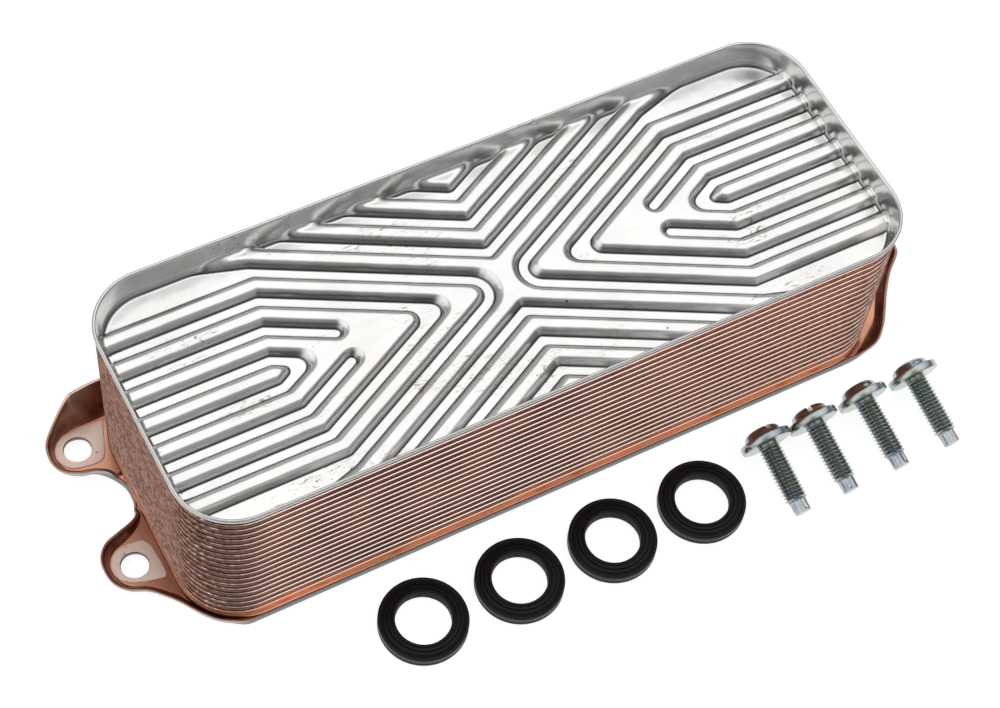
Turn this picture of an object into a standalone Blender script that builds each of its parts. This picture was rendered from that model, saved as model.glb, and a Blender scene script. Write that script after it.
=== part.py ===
"""Brazed plate heat exchanger on a mounting plate, with its four port seals and four fixing screws.

Axes: X along the length, Y across, Z up.  The origin is the middle of the mounting plate's underside.
All lengths in the tables are millimetres and are turned into metres when a mesh is made.
"""
import math

import bmesh
import bpy
from mathutils import Matrix, Vector
from mathutils.geometry import delaunay_2d_cdt

for leftover in list(bpy.data.objects):
    bpy.data.objects.remove(leftover, do_unlink=True)

MM = 0.001

# ---- overall size -------------------------------------------------------------------------------
RIM_HALF_LENGTH = 100.0
RIM_HALF_WIDTH = 37.25
TOTAL_HEIGHT = 54.8
CORNER_RADIUS = 16.0
CORNER_STEPS = 4

# ---- stacked trays ------------------------------------------------------------------------------
CHANNEL_PLATES = 16
PITCH = 2.53
PLATE_HALF_LENGTH = 99.6
PLATE_HALF_WIDTH = 36.85
PLATE_SHEET = 0.40
SKIRT_SHEET = 0.25
DRAFT = 0.15
TOP_CHANNEL_RIM = 51.9
CHANNEL_SKIRT = 7.15
PORT_PLATES = ((4.25, 6.3), (5.0, 8.9), (5.75, 11.4))
BACKING_FLOOR = 45.30
BACKING_RIM = 53.4
BACKING_HALF_LENGTH = 99.45
BACKING_HALF_WIDTH = 36.70

# ---- ports --------------------------------------------------------------------------------------
PORT_X = 79.0
PORT_Y = 18.5
PORT_RADIUS = 7.5
PORT_SIDES = 8
COLLAR_WALL = 1.3
COLLAR_HEIGHT = 1.9
PORT_CENTRES = ((-PORT_X, -PORT_Y), (PORT_X, -PORT_Y), (PORT_X, PORT_Y), (-PORT_X, PORT_Y))

# ---- base and mounting plate --------------------------------------------------------------------
MOUNT_THICKNESS = 2.5
MOUNT_PORT_RADIUS = 8.0
BASE_BOTTOM = 2.7
BASE_TOP = 4.0
BASE_HALF_LENGTH = 99.9
BASE_HALF_WIDTH = 36.9
EAR_HOLE_RADIUS = 3.55
EAR_HOLES = ((-107.2, 25.8), (-107.2, -10.8), (107.2, -10.8), (107.2, 25.8))
WALL_SHEET = 0.9

# ---- ribbed end plate ---------------------------------------------------------------------------
END_SHEET = 0.7
RIDGE_Z = 48.9
GROOVE_Z = 46.8
GROOVE_FLOOR = 1.2
GROOVE_SHOULDER = 3.2
RIDGE_PITCH = 8.33
CHEVRON_STEP = 9.5
CHEVRON_SLOPE = 0.52
LOOP_FILLET = 1.3
LOOP_HEEL_RADIUS = 4.4
SHORT_GROOVE_END = 45.6
CENTRE_TIP = 5.2
CENTRE_FLARE = 60.0
CENTRE_SIDE = (78.0, 40.0)
END_HALF_LENGTH = 99.05
LIP_HEIGHT = 1.0
LIP_OVERHANG = 0.95
LIP_NECK = 0.2

# ---- loose kit ----------------------------------------------------------------------------------
SEAL_OUTER = 11.5
SEAL_INNER = 6.75
SEAL_HEIGHT = 3.7
SEAL_STEPS = 20
SEAL_CENTRES = ((-49.2, -55.6), (-22.3, -56.2), (4.5, -56.5), (30.9, -56.8))
SCREW_HEADS = ((53.1, -51.9), (67.6, -51.9), (83.4, -51.6), (99.5, -51.6))
SCREW_TIPS = ((53.2, -70.7), (68.0, -70.9), (84.0, -70.5), (100.0, -70.1))
SCREW_LENGTH = 20.0
SCREW_HEAD_RADIUS = 7.0
SCREW_CROWN = 4.7
SCREW_CROWN_FLAT = 3.0
SCREW_CROSS = (2.6, 0.65)
SCREW_CROSS_DEPTH = 1.8
SCREW_THREAD_RADIUS = 2.8
SCREW_TIP_RADIUS = 2.25
SCREW_STEPS = 16


def make_material(name, colour, metallic, roughness):
    material = bpy.data.materials.new(name)
    material.use_nodes = True
    shader = material.node_tree.nodes["Principled BSDF"]
    shader.inputs["Base Color"].default_value = (colour[0], colour[1], colour[2], 1.0)
    shader.inputs["Metallic"].default_value = metallic
    shader.inputs["Roughness"].default_value = roughness
    material.diffuse_color = (colour[0], colour[1], colour[2], 1.0)
    return material


class Shell:
    """Collects shared points and faces of one closed body."""

    def __init__(self):
        self.points = []
        self.lookup = {}
        self.faces = []

    def point(self, x, y, z):
        key = (round(x, 5), round(y, 5), round(z, 5))
        if key not in self.lookup:
            self.lookup[key] = len(self.points)
            self.points.append((x, y, z))
        return self.lookup[key]

    def loop(self, outline, z):
        return [self.point(x, y, z) for x, y in outline]

    def face(self, *corners):
        distinct = []
        for corner in corners:
            if corner not in distinct:
                distinct.append(corner)
        if len(distinct) > 2:
            self.faces.append(tuple(distinct))

    def band(self, lower, upper):
        count = len(lower)
        for i in range(count):
            j = (i + 1) % count
            self.face(lower[i], lower[j], upper[j])
            self.face(lower[i], upper[j], upper[i])

    def cap(self, outline, holes, height):
        for triangle in fill_outline(outline, holes):
            self.face(*[self.point(x, y, height) for x, y in triangle])


def inside(x, y, outline):
    hit = False
    count = len(outline)
    for i in range(count):
        x1, y1 = outline[i]
        x2, y2 = outline[(i + 1) % count]
        if (y1 > y) != (y2 > y):
            if x < (x2 - x1) * (y - y1) / (y2 - y1) + x1:
                hit = not hit
    return hit


def triangulate(loops):
    verts = []
    edges = []
    for outline in loops:
        start = len(verts)
        verts.extend(Vector((x, y)) for x, y in outline)
        count = len(outline)
        edges.extend((start + i, start + (i + 1) % count) for i in range(count))
    result = delaunay_2d_cdt(verts, edges, [], 0, 1e-6, True)
    return result[0], result[2]


def fill_outline(outline, holes):
    verts, faces = triangulate([outline] + list(holes))
    kept = []
    for face in faces:
        corners = [(verts[i][0], verts[i][1]) for i in face]
        cx = sum(c[0] for c in corners) / 3.0
        cy = sum(c[1] for c in corners) / 3.0
        if not inside(cx, cy, outline):
            continue
        if any(inside(cx, cy, hole) for hole in holes):
            continue
        kept.append(corners)
    return kept


def rounded_rectangle(half_x, half_y, radius, steps=CORNER_STEPS):
    outline = []
    for quarter in range(4):
        sx = 1 if quarter in (0, 3) else -1
        sy = 1 if quarter in (0, 1) else -1
        for i in range(steps + 1):
            angle = math.radians(90.0 * quarter + 90.0 * i / steps)
            x = sx * (half_x - radius) + radius * math.cos(angle)
            y = sy * (half_y - radius) + radius * math.sin(angle)
            outline.append((x, y))
    return outline


def circle(cx, cy, radius, sides, turn=0.0):
    step = 2.0 * math.pi / sides
    return [(cx + radius * math.cos(turn + step * i), cy + radius * math.sin(turn + step * i))
            for i in range(sides)]


def finish(name, shell, material, place=None, smooth_angle=35.0):
    mesh = bpy.data.meshes.new(name)
    scale = Matrix.Scale(MM, 4)
    matrix = scale if place is None else scale @ place
    mesh.from_pydata([matrix @ Vector(p) for p in shell.points], [], shell.faces)
    work = bmesh.new()
    work.from_mesh(mesh)
    bmesh.ops.recalc_face_normals(work, faces=work.faces)
    work.to_mesh(mesh)
    work.free()
    mesh.materials.append(material)
    mesh.shade_smooth()
    mesh.set_sharp_from_angle(angle=math.radians(smooth_angle))
    body = bpy.data.objects.new(name, mesh)
    bpy.context.scene.collection.objects.link(body)
    return body


def add_tray(name, material, floor_bottom, sheet, rim, half_x, half_y, ports=PORT_CENTRES, collared=()):
    """A pressed tray: flat floor with its ports and a drafted skirt standing up round it."""
    shell = Shell()
    floor_top = floor_bottom + sheet

    def outline(inset, height):
        shrink = inset + DRAFT * (rim - height)
        radius = CORNER_RADIUS - (RIM_HALF_LENGTH - half_x) - shrink
        return rounded_rectangle(half_x - shrink, half_y - shrink, radius)

    outer_low = outline(0.0, floor_bottom)
    outer_high = outline(0.0, rim)
    inner_high = outline(SKIRT_SHEET, rim)
    inner_low = outline(SKIRT_SHEET, floor_top)
    shell.band(shell.loop(outer_low, floor_bottom), shell.loop(outer_high, rim))
    shell.band(shell.loop(outer_high, rim), shell.loop(inner_high, rim))
    shell.band(shell.loop(inner_high, rim), shell.loop(inner_low, floor_top))
    bores = [circle(x, y, PORT_RADIUS, PORT_SIDES) for x, y in ports]
    wide = [circle(x, y, PORT_RADIUS + COLLAR_WALL, PORT_SIDES) for x, y in ports]
    top_holes = []
    for i, bore in enumerate(bores):
        low = shell.loop(bore, floor_bottom)
        if i in collared:
            crest = floor_top + COLLAR_HEIGHT
            shell.band(low, shell.loop(bore, crest))
            shell.band(shell.loop(bore, crest), shell.loop(wide[i], crest))
            shell.band(shell.loop(wide[i], crest), shell.loop(wide[i], floor_top))
            top_holes.append(wide[i])
        else:
            shell.band(low, shell.loop(bore, floor_top))
            top_holes.append(bore)
    shell.cap(outer_low, bores, floor_bottom)
    shell.cap(inner_low, top_holes, floor_top)
    return finish(name, shell, material)


def add_base_plate(material):
    """Flat plate under the pack, its upper edge bevelled all round."""
    shell = Shell()
    full = rounded_rectangle(BASE_HALF_LENGTH, BASE_HALF_WIDTH, CORNER_RADIUS + 0.6)
    slim = rounded_rectangle(BASE_HALF_LENGTH - 0.6, BASE_HALF_WIDTH - 0.3, CORNER_RADIUS + 0.2)
    bores = [circle(x, y, PORT_RADIUS, PORT_SIDES) for x, y in PORT_CENTRES]
    shoulder = BASE_BOTTOM + 0.5
    shell.band(shell.loop(full, BASE_BOTTOM), shell.loop(full, shoulder))
    shell.band(shell.loop(full, shoulder), shell.loop(slim, BASE_TOP))
    for bore in bores:
        shell.band(shell.loop(bore, BASE_BOTTOM), shell.loop(bore, BASE_TOP))
    shell.cap(full, bores, BASE_BOTTOM)
    shell.cap(slim, bores, BASE_TOP)
    return finish("base_plate", shell, material)


# Outer edge of the mounting plate, walked anticlockwise from the near left corner.  Each row holds the
# foot of the edge (x, y), how far its lip leans outward (x, y), and the height of the lip.
RIGHT_NEAR_EDGE = (
    (80.0, -37.1, 0.0, -0.1, 2.5),
    (88.5, -37.1, 0.0, -0.1, 2.5),
    (92.6, -36.6, 0.3, -0.7, 3.2),
    (97.2, -34.6, 1.0, -1.8, 4.2),
    (100.4, -31.4, 1.8, -1.6, 5.0),
    (103.0, -27.8, 2.2, -1.4, 5.0),
    (106.4, -23.0, 2.3, -1.4, 5.0),
    (111.0, -17.8, 2.1, -1.5, 5.0),
    (116.4, -13.2, 2.1, -1.4, 5.0),
    (117.5, -11.0, 2.0, -0.3, 5.0),
    (116.8, -8.6, 1.7, 0.8, 5.0),
    (114.2, -6.6, 1.1, 1.5, 5.0),
    (110.6, -4.6, 0.8, 1.7, 5.0),
)
SIDE_EDGE = (
    (107.2, -3.4, 0.6, 1.9, 5.0),
    (104.6, -1.8, -0.6, 1.7, 4.6),
    (102.6, 0.9, -1.0, 0.7, 4.0),
    (101.2, 3.6, 0.0, 0.0, 2.5),
    (100.3, 6.4, 0.0, 0.0, 2.5),
    (100.3, 10.6, 0.0, 0.0, 2.5),
    (101.5, 13.6, 0.0, 0.0, 2.5),
    (103.4, 16.4, -0.4, -0.9, 4.0),
    (105.8, 18.4, 0.1, -1.5, 4.6),
    (109.2, 19.4, 0.7, -1.7, 5.0),
    (112.2, 21.4, 1.6, -1.2, 5.0),
    (113.4, 24.6, 1.9, -0.3, 5.0),
    (112.6, 28.4, 1.9, 0.8, 5.4),
    (110.0, 31.6, 1.0, 1.4, 7.0),
    (106.4, 33.0, 0.3, 2.8, 10.8),
    (104.0, 33.2, 0.2, 3.4, 12.6),
    (95.6, 33.7, 0.0, 3.6, 12.8),
    (93.8, 35.4, 0.0, 2.0, 9.0),
    (91.6, 36.7, 0.0, 0.6, 3.2),
    (88.5, 37.1, 0.0, 0.1, 2.5),
    (80.0, 37.1, 0.0, 0.1, 2.5),
)
LEFT_NEAR_EDGE = (
    (-110.2, -4.7, -1.5, 1.7, 5.0),
    (-112.4, -6.9, -1.9, 1.0, 5.0),
    (-113.2, -9.8, -2.0, 0.2, 5.0),
    (-112.6, -13.4, -2.0, -0.8, 5.0),
    (-110.4, -16.2, -1.6, -1.4, 5.0),
    (-106.6, -18.0, -0.9, -2.0, 5.0),
    (-102.5, -21.8, -1.3, -1.9, 5.0),
    (-100.3, -24.9, -1.3, -1.5, 5.0),
    (-98.5, -27.8, -1.4, -1.2, 5.0),
    (-96.8, -30.5, -1.3, -1.0, 5.0),
    (-94.5, -33.0, -1.1, -1.3, 5.0),
    (-91.7, -35.0, -0.9, -1.2, 4.6),
    (-88.4, -36.9, -0.3, -0.4, 3.2),
    (-84.7, -37.1, 0.0, -0.1, 2.5),
    (-80.0, -37.1, 0.0, -0.1, 2.5),
)


def mounting_edge():
    mirrored = [(-x, y, -dx, dy, height) for x, y, dx, dy, height in reversed(SIDE_EDGE)]
    return list(RIGHT_NEAR_EDGE + SIDE_EDGE) + mirrored + list(LEFT_NEAR_EDGE)


def add_mount_plate(material):
    """Drawn sheet with four ears; its lip rises round the ears and the corners."""
    shell = Shell()
    rows = mounting_edge()
    foot = [(x, y) for x, y, dx, dy, h in rows]
    crest = [(x + dx, y + dy) for x, y, dx, dy, h in rows]
    count = len(rows)
    inward = []
    for i in range(count):
        ax, ay = crest[i - 1]
        bx, by = crest[(i + 1) % count]
        length = math.hypot(bx - ax, by - ay)
        inward.append((-(by - ay) / length, (bx - ax) / length))
    low_outer = [shell.point(foot[i][0], foot[i][1], 0.0) for i in range(count)]
    high_outer = [shell.point(crest[i][0], crest[i][1], rows[i][4]) for i in range(count)]
    high_inner = []
    low_inner = []
    floor_loop = []
    for i in range(count):
        nx, ny = inward[i]
        x = crest[i][0] + nx * WALL_SHEET
        y = crest[i][1] + ny * WALL_SHEET
        high_inner.append(shell.point(x, y, rows[i][4]))
        lean = MOUNT_THICKNESS / rows[i][4]
        x = foot[i][0] + rows[i][2] * lean + nx * (WALL_SHEET + 0.1)
        y = foot[i][1] + rows[i][3] * lean + ny * (WALL_SHEET + 0.1)
        floor_loop.append((x, y))
        low_inner.append(shell.point(x, y, MOUNT_THICKNESS))
    shell.band(low_outer, high_outer)
    shell.band(high_outer, high_inner)
    shell.band(high_inner, low_inner)
    holes = [circle(x, y, MOUNT_PORT_RADIUS, 12) for x, y in PORT_CENTRES]
    holes += [circle(x, y, EAR_HOLE_RADIUS, 12) for x, y in EAR_HOLES]
    for hole in holes:
        shell.band(shell.loop(hole, 0.0), shell.loop(hole, MOUNT_THICKNESS))
    shell.cap(foot, holes, 0.0)
    shell.cap(floor_loop, holes, MOUNT_THICKNESS)
    return finish("mount_plate", shell, material)


def offset_path(path, distance):
    """Mitred parallel of an open polyline, to the left for a positive distance."""
    result = []
    last = len(path) - 1
    for i, (x, y) in enumerate(path):
        normals = []
        for a, b in ((i - 1, i), (i, i + 1)):
            if a < 0 or b > last:
                continue
            dx = path[b][0] - path[a][0]
            dy = path[b][1] - path[a][1]
            length = math.hypot(dx, dy)
            normals.append((-dy / length, dx / length))
        nx = sum(n[0] for n in normals)
        ny = sum(n[1] for n in normals)
        scale = distance / (nx * normals[0][0] + ny * normals[0][1])
        result.append((x + nx * scale, y + ny * scale))
    return result


def strip(path, half, round_end=False):
    """Closed outline of a groove of half-width `half` along an open polyline."""
    left = offset_path(path, half)
    right = offset_path(path, -half)
    middle = []
    if round_end:
        ex, ey = path[-1]
        heading = math.atan2(ey - path[-2][1], ex - path[-2][0])
        for turn in (60.0, 20.0, -20.0, -60.0):
            angle = heading + math.radians(turn)
            middle.append((ex + half * math.cos(angle), ey + half * math.sin(angle)))
    return left + middle + right[::-1]


def rounded_corner(path, index, radius, steps=3):
    """The same polyline with one corner replaced by an arc, kept short enough for its two sides."""
    ax, ay = path[index - 1]
    x, y = path[index]
    bx, by = path[index + 1]
    side_a = math.hypot(ax - x, ay - y)
    side_b = math.hypot(bx - x, by - y)
    ux, uy = (ax - x) / side_a, (ay - y) / side_a
    vx, vy = (bx - x) / side_b, (by - y) / side_b
    half_angle = math.acos(max(-1.0, min(1.0, ux * vx + uy * vy))) / 2.0
    cut = min(radius / math.tan(half_angle), 0.9 * side_a, 0.9 * side_b)
    radius = cut * math.tan(half_angle)
    wx, wy = ux + vx, uy + vy
    length = math.hypot(wx, wy)
    reach = radius / math.sin(half_angle)
    cx, cy = x + wx / length * reach, y + wy / length * reach
    start = math.atan2(y + uy * cut - cy, x + ux * cut - cx)
    sweep = math.atan2(y + vy * cut - cy, x + vx * cut - cx) - start
    sweep = (sweep + math.pi) % (2.0 * math.pi) - math.pi
    arc = []
    for i in range(steps + 1):
        angle = start + sweep * i / steps
        arc.append((cx + radius * math.cos(angle), cy + radius * math.sin(angle)))
    return path[:index] + arc + path[index + 1:]


def clip(outline, keep):
    """Convex clip of an outline by half planes (nx, ny, limit) with nx*x + ny*y <= limit."""
    for nx, ny, limit in keep:
        clipped = []
        count = len(outline)
        for i in range(count):
            ax, ay = outline[i]
            bx, by = outline[(i + 1) % count]
            da = nx * ax + ny * ay - limit
            db = nx * bx + ny * by - limit
            if da <= 0.0:
                clipped.append((ax, ay))
            if da * db < 0.0:
                t = da / (da - db)
                clipped.append((ax + t * (bx - ax), ay + t * (by - ay)))
        outline = clipped
    return outline


def mirror(outline, sx, sy):
    flipped = [(sx * x, sy * y) for x, y in outline]
    return flipped if sx * sy > 0 else flipped[::-1]


def mirror_rows(rows):
    return [(x, -y) for x, y in rows]


def groove_outlines(half):
    """Every pressed groove of the end plate at one half-width (floor edge or shoulder edge)."""
    slope = CHEVRON_SLOPE
    reach = 130.0
    rise = half * math.hypot(1.0, slope)
    outlines = []
    for k in (1, 2, 3):
        top = CHEVRON_STEP * k
        arm = 90.0
        path = [(-arm, top + slope * arm), (0.0, top), (arm, top + slope * arm)]
        outlines += [strip(path, half), mirror(strip(path, half), 1, -1)]
    edge = RIDGE_PITCH * 3.0 + (RIDGE_PITCH - 2.0 * GROOVE_SHOULDER) / 2.0
    edge = edge + (GROOVE_SHOULDER - half)
    bend = (edge + rise) / slope
    outer = CENTRE_TIP - half
    inner = CENTRE_TIP + half
    nose = (-inner - 0.6, slope * (inner + 0.6) - rise)
    hood = (-outer - 1.6, slope * (outer + 1.6) + rise)
    flare = (-CENTRE_FLARE, slope * CENTRE_FLARE + rise)
    side_x, side_y = CENTRE_SIDE
    cheek = (-outer, 1.2 + 0.4 * half)
    above = [(-reach, side_y), (-side_x, side_y), flare, hood, cheek]
    below = [(-reach, edge), (-bend, edge), nose]
    flat = above + mirror_rows(above[::-1]) + mirror_rows(below) + below[::-1]
    outlines += [flat, mirror(flat, -1, 1)]
    for k, level in ((2.5, CHEVRON_STEP), (0.5, CHEVRON_STEP * 3.0)):
        y = RIDGE_PITCH * k
        bend = (y + level) / slope
        path = [(-reach, y), (-bend, y), (-level / slope, 0.0), (-bend, -y), (-reach, -y)]
        nose_side = rounded_corner(offset_path(path, half), 2, half + LOOP_FILLET)
        heel_side = rounded_corner(offset_path(path, -half), 2, LOOP_HEEL_RADIUS - half)
        loop = nose_side + heel_side[::-1]
        outlines += [loop, mirror(loop, -1, 1)]
    y = RIDGE_PITCH * 1.5
    level = CHEVRON_STEP * 2.0
    bend = (y + level) / slope
    path = [(-reach, y), (-bend, y), (-SHORT_GROOVE_END, slope * SHORT_GROOVE_END - level)]
    short = strip(path, half, round_end=True)
    outlines += [short, mirror(short, 1, -1), mirror(short, -1, 1), mirror(short, -1, -1)]
    return outlines


def add_end_plate(material):
    """Ribbed top tray: ridges and grooves pressed in the floor, a skirt and a narrow lip round it."""
    shell = Shell()
    lip_low = TOTAL_HEIGHT - LIP_HEIGHT
    neck = lip_low - LIP_NECK
    depth = neck - GROOVE_Z
    inset = RIM_HALF_LENGTH - END_HALF_LENGTH + END_SHEET + DRAFT * depth

    def ring(offset, steps=CORNER_STEPS):
        return rounded_rectangle(RIM_HALF_LENGTH - offset, RIM_HALF_WIDTH - offset,
                                 CORNER_RADIUS - offset, steps)

    edge = ring(inset)
    planes = []
    count = len(edge)
    for i in range(count):
        ax, ay = edge[i]
        bx, by = edge[(i + 1) % count]
        nx, ny = by - ay, ax - bx
        length = math.hypot(nx, ny)
        if length < 1e-9:
            continue
        nx, ny = nx / length, ny / length
        planes.append((nx, ny, nx * ax + ny * ay))
    floors = [clip(outline, planes) for outline in groove_outlines(GROOVE_FLOOR)]
    shoulders = [clip(outline, planes) for outline in groove_outlines(GROOVE_SHOULDER)]
    verts, faces = triangulate([edge] + floors + shoulders)

    def level(x, y):
        for outline in floors:
            near = nearest_edge(x, y, outline)
            if near < 1e-4 or inside(x, y, outline):
                return GROOVE_Z
        return RIDGE_Z

    points = [(v[0], v[1]) for v in verts]
    heights = [level(x, y) for x, y in points]
    used = []
    for face in faces:
        cx = sum(points[i][0] for i in face) / 3.0
        cy = sum(points[i][1] for i in face) / 3.0
        if inside(cx, cy, edge):
            used.append(face)
    sides = {}
    for face in used:
        for a, b in ((0, 1), (1, 2), (2, 0)):
            sides[(face[a], face[b])] = True
    border = {a: b for a, b in sides if (b, a) not in sides}
    start = min(border)
    walk = [start]
    while border[walk[-1]] != start:
        walk.append(border[walk[-1]])
    top = [shell.point(x, y, z) for (x, y), z in zip(points, heights)]
    under = [shell.point(x, y, z - END_SHEET) for (x, y), z in zip(points, heights)]
    for face in used:
        shell.face(*[top[i] for i in face])
        shell.face(*[under[i] for i in reversed(face)])

    def outward(x, y, distance):
        core_x = max(-(RIM_HALF_LENGTH - CORNER_RADIUS), min(RIM_HALF_LENGTH - CORNER_RADIUS, x))
        core_y = max(-(RIM_HALF_WIDTH - CORNER_RADIUS), min(RIM_HALF_WIDTH - CORNER_RADIUS, y))
        dx, dy = x - core_x, y - core_y
        length = math.hypot(dx, dy)
        factor = (length + distance) / length
        return core_x + dx * factor, core_y + dy * factor

    profile = ((DRAFT * depth, neck), (inset - LIP_OVERHANG, TOTAL_HEIGHT), (inset, TOTAL_HEIGHT), (inset, lip_low),
               (inset - LIP_OVERHANG, neck), (END_SHEET - 0.12, GROOVE_Z - END_SHEET + 0.2))
    previous = [top[i] for i in walk]
    for distance, z in profile:
        ring_points = []
        for i in walk:
            x, y = outward(points[i][0], points[i][1], distance)
            ring_points.append(shell.point(x, y, z))
        shell.band(previous, ring_points)
        previous = ring_points
    shell.band(previous, [under[i] for i in walk])
    return finish("end_plate", shell, material)


def nearest_edge(x, y, outline):
    best = 1e9
    count = len(outline)
    for i in range(count):
        ax, ay = outline[i]
        bx, by = outline[(i + 1) % count]
        dx, dy = bx - ax, by - ay
        square = dx * dx + dy * dy
        t = 0.0 if square == 0.0 else max(0.0, min(1.0, ((x - ax) * dx + (y - ay) * dy) / square))
        best = min(best, math.hypot(x - ax - t * dx, y - ay - t * dy))
    return best


def revolve(shell, profile, steps):
    """Turns a profile of (radius, height) round the Z axis."""
    loops = [shell.loop(circle(0.0, 0.0, radius, steps), z) for radius, z in profile]
    for a, b in zip(loops, loops[1:]):
        shell.band(a, b)


def add_seal(index, centre, material):
    """Stepped rubber ring, grooved on both faces."""
    shell = Shell()
    top = SEAL_HEIGHT
    profile = [(SEAL_INNER, 0.5), (SEAL_INNER + 1.0, 0.0), (SEAL_OUTER - 0.7, 0.0), (SEAL_OUTER, 0.6),
               (SEAL_OUTER, top - 1.3), (SEAL_OUTER - 1.2, top - 0.5), (SEAL_OUTER - 2.0, top - 0.9),
               (SEAL_OUTER - 2.7, top), (SEAL_INNER + 0.7, top), (SEAL_INNER, top - 0.6), (SEAL_INNER, 0.5)]
    revolve(shell, profile, SEAL_STEPS)
    place = Matrix.Translation((centre[0], centre[1], 0.0))
    return finish("seal_%d" % index, shell, material, place)


def add_screw(index, head, tip, material):
    """Flanged dome-head screw with a cross recess, plain shank and dog point, lying on its side."""
    shell = Shell()
    crown = SCREW_CROWN
    flat = SCREW_CROWN_FLAT
    profile = [(SCREW_TIP_RADIUS, -SCREW_LENGTH), (SCREW_TIP_RADIUS, -SCREW_LENGTH + 3.2),
               (SCREW_THREAD_RADIUS, -SCREW_LENGTH + 3.9), (SCREW_THREAD_RADIUS, 0.0),
               (SCREW_HEAD_RADIUS - 0.3, 0.0), (SCREW_HEAD_RADIUS, 0.4), (SCREW_HEAD_RADIUS, 2.0),
               (5.3, 2.4), (4.9, 3.5), (flat, crown)]
    revolve(shell, profile, SCREW_STEPS)
    shell.cap(circle(0.0, 0.0, SCREW_TIP_RADIUS, SCREW_STEPS), [], -SCREW_LENGTH)
    arm, half = SCREW_CROSS
    cross = []
    for quarter in range(4):
        c = round(math.cos(math.pi / 2.0 * quarter))
        s = round(math.sin(math.pi / 2.0 * quarter))
        for x, y in ((half, half), (half, arm), (-half, arm)):
            cross.append((c * x - s * y, s * x + c * y))
    shell.cap(circle(0.0, 0.0, flat, SCREW_STEPS), [cross], crown)
    floor = crown - SCREW_CROSS_DEPTH
    shell.band(shell.loop(cross, crown), shell.loop(cross, floor))
    shell.cap(cross, [], floor)
    dx, dy = tip[0] - head[0], tip[1] - head[1]
    heading = math.atan2(dy, dx)
    dip = math.atan2(SCREW_HEAD_RADIUS - SCREW_TIP_RADIUS, SCREW_LENGTH + 0.4)
    turn = Matrix.Rotation(heading, 4, "Z") @ Matrix.Rotation(-(math.pi / 2.0 - dip), 4, "Y")
    lowest = min((turn @ Vector(p)).z for p in shell.points)
    place = Matrix.Translation((head[0], head[1], -lowest)) @ turn
    return finish("screw_%d" % index, shell, material, place)


def build():
    copper = make_material("copper_braze", (0.55, 0.27, 0.18), 1.0, 0.42)
    bright = make_material("bright_steel", (0.80, 0.80, 0.79), 1.0, 0.18)
    drawn = make_material("coppered_steel", (0.66, 0.38, 0.28), 1.0, 0.38)
    rubber = make_material("black_rubber", (0.02, 0.02, 0.02), 0.0, 0.55)
    zinc = make_material("zinc_plate", (0.66, 0.68, 0.66), 1.0, 0.28)
    add_mount_plate(drawn)
    add_base_plate(drawn)
    for i, (floor, rim) in enumerate(PORT_PLATES):
        add_tray("port_plate_%d" % (i + 1), copper, floor, PLATE_SHEET, rim,
                 PLATE_HALF_LENGTH, PLATE_HALF_WIDTH)
    for i in range(CHANNEL_PLATES):
        last = i == CHANNEL_PLATES - 1
        rim = TOP_CHANNEL_RIM - PITCH * (CHANNEL_PLATES - 1 - i)
        ports = () if last else PORT_CENTRES
        collared = () if last else ((0, 2) if i % 2 == 0 else (1, 3))
        add_tray("channel_plate_%02d" % (i + 1), copper, rim - CHANNEL_SKIRT - PLATE_SHEET, PLATE_SHEET,
                 rim, PLATE_HALF_LENGTH, PLATE_HALF_WIDTH, ports, collared)
    add_tray("backing_plate", copper, BACKING_FLOOR, PLATE_SHEET, BACKING_RIM,
             BACKING_HALF_LENGTH, BACKING_HALF_WIDTH, ())
    add_end_plate(bright)
    for i, centre in enumerate(SEAL_CENTRES):
        add_seal(i + 1, centre, rubber)
    for i in range(len(SCREW_HEADS)):
        add_screw(i + 1, SCREW_HEADS[i], SCREW_TIPS[i], zinc)


build()
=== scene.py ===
"""Looks of the brazed plate heat exchanger, its four port seals and its four fixing screws.

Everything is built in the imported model's own frame: +X along the length, +Y across, +Z up, with the origin
in the middle of the mounting plate's underside.  Tables and profiles are in millimetres, and are turned
into metres when a mesh is made.
"""
import random
from cmath import phase, rect
from math import atan2, copysign, cos, hypot, pi, radians, sin, sqrt, tan

import bmesh
import bpy
import numpy as np
from mathutils import Matrix, Vector
from mathutils.geometry import delaunay_2d_cdt


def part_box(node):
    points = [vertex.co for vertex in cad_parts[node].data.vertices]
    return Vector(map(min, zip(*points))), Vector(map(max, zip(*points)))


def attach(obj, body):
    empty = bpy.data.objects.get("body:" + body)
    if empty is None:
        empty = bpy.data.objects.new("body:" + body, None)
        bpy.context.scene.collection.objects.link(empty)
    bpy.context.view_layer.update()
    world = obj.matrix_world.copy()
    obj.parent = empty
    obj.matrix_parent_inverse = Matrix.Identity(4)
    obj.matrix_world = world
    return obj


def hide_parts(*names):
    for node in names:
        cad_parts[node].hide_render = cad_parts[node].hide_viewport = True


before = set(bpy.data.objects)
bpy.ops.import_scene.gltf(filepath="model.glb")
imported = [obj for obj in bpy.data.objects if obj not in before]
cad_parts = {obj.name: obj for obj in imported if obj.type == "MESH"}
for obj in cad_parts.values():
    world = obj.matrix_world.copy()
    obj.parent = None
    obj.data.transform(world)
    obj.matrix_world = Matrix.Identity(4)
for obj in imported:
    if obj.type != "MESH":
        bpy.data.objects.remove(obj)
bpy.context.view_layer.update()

MM = 0.001
BODY = "exchanger"


def node_box(name):
    """Lowest and highest corner of a node of the frame, in millimetres."""
    low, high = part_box(name)
    return [c / MM for c in low], [c / MM for c in high]


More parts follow.
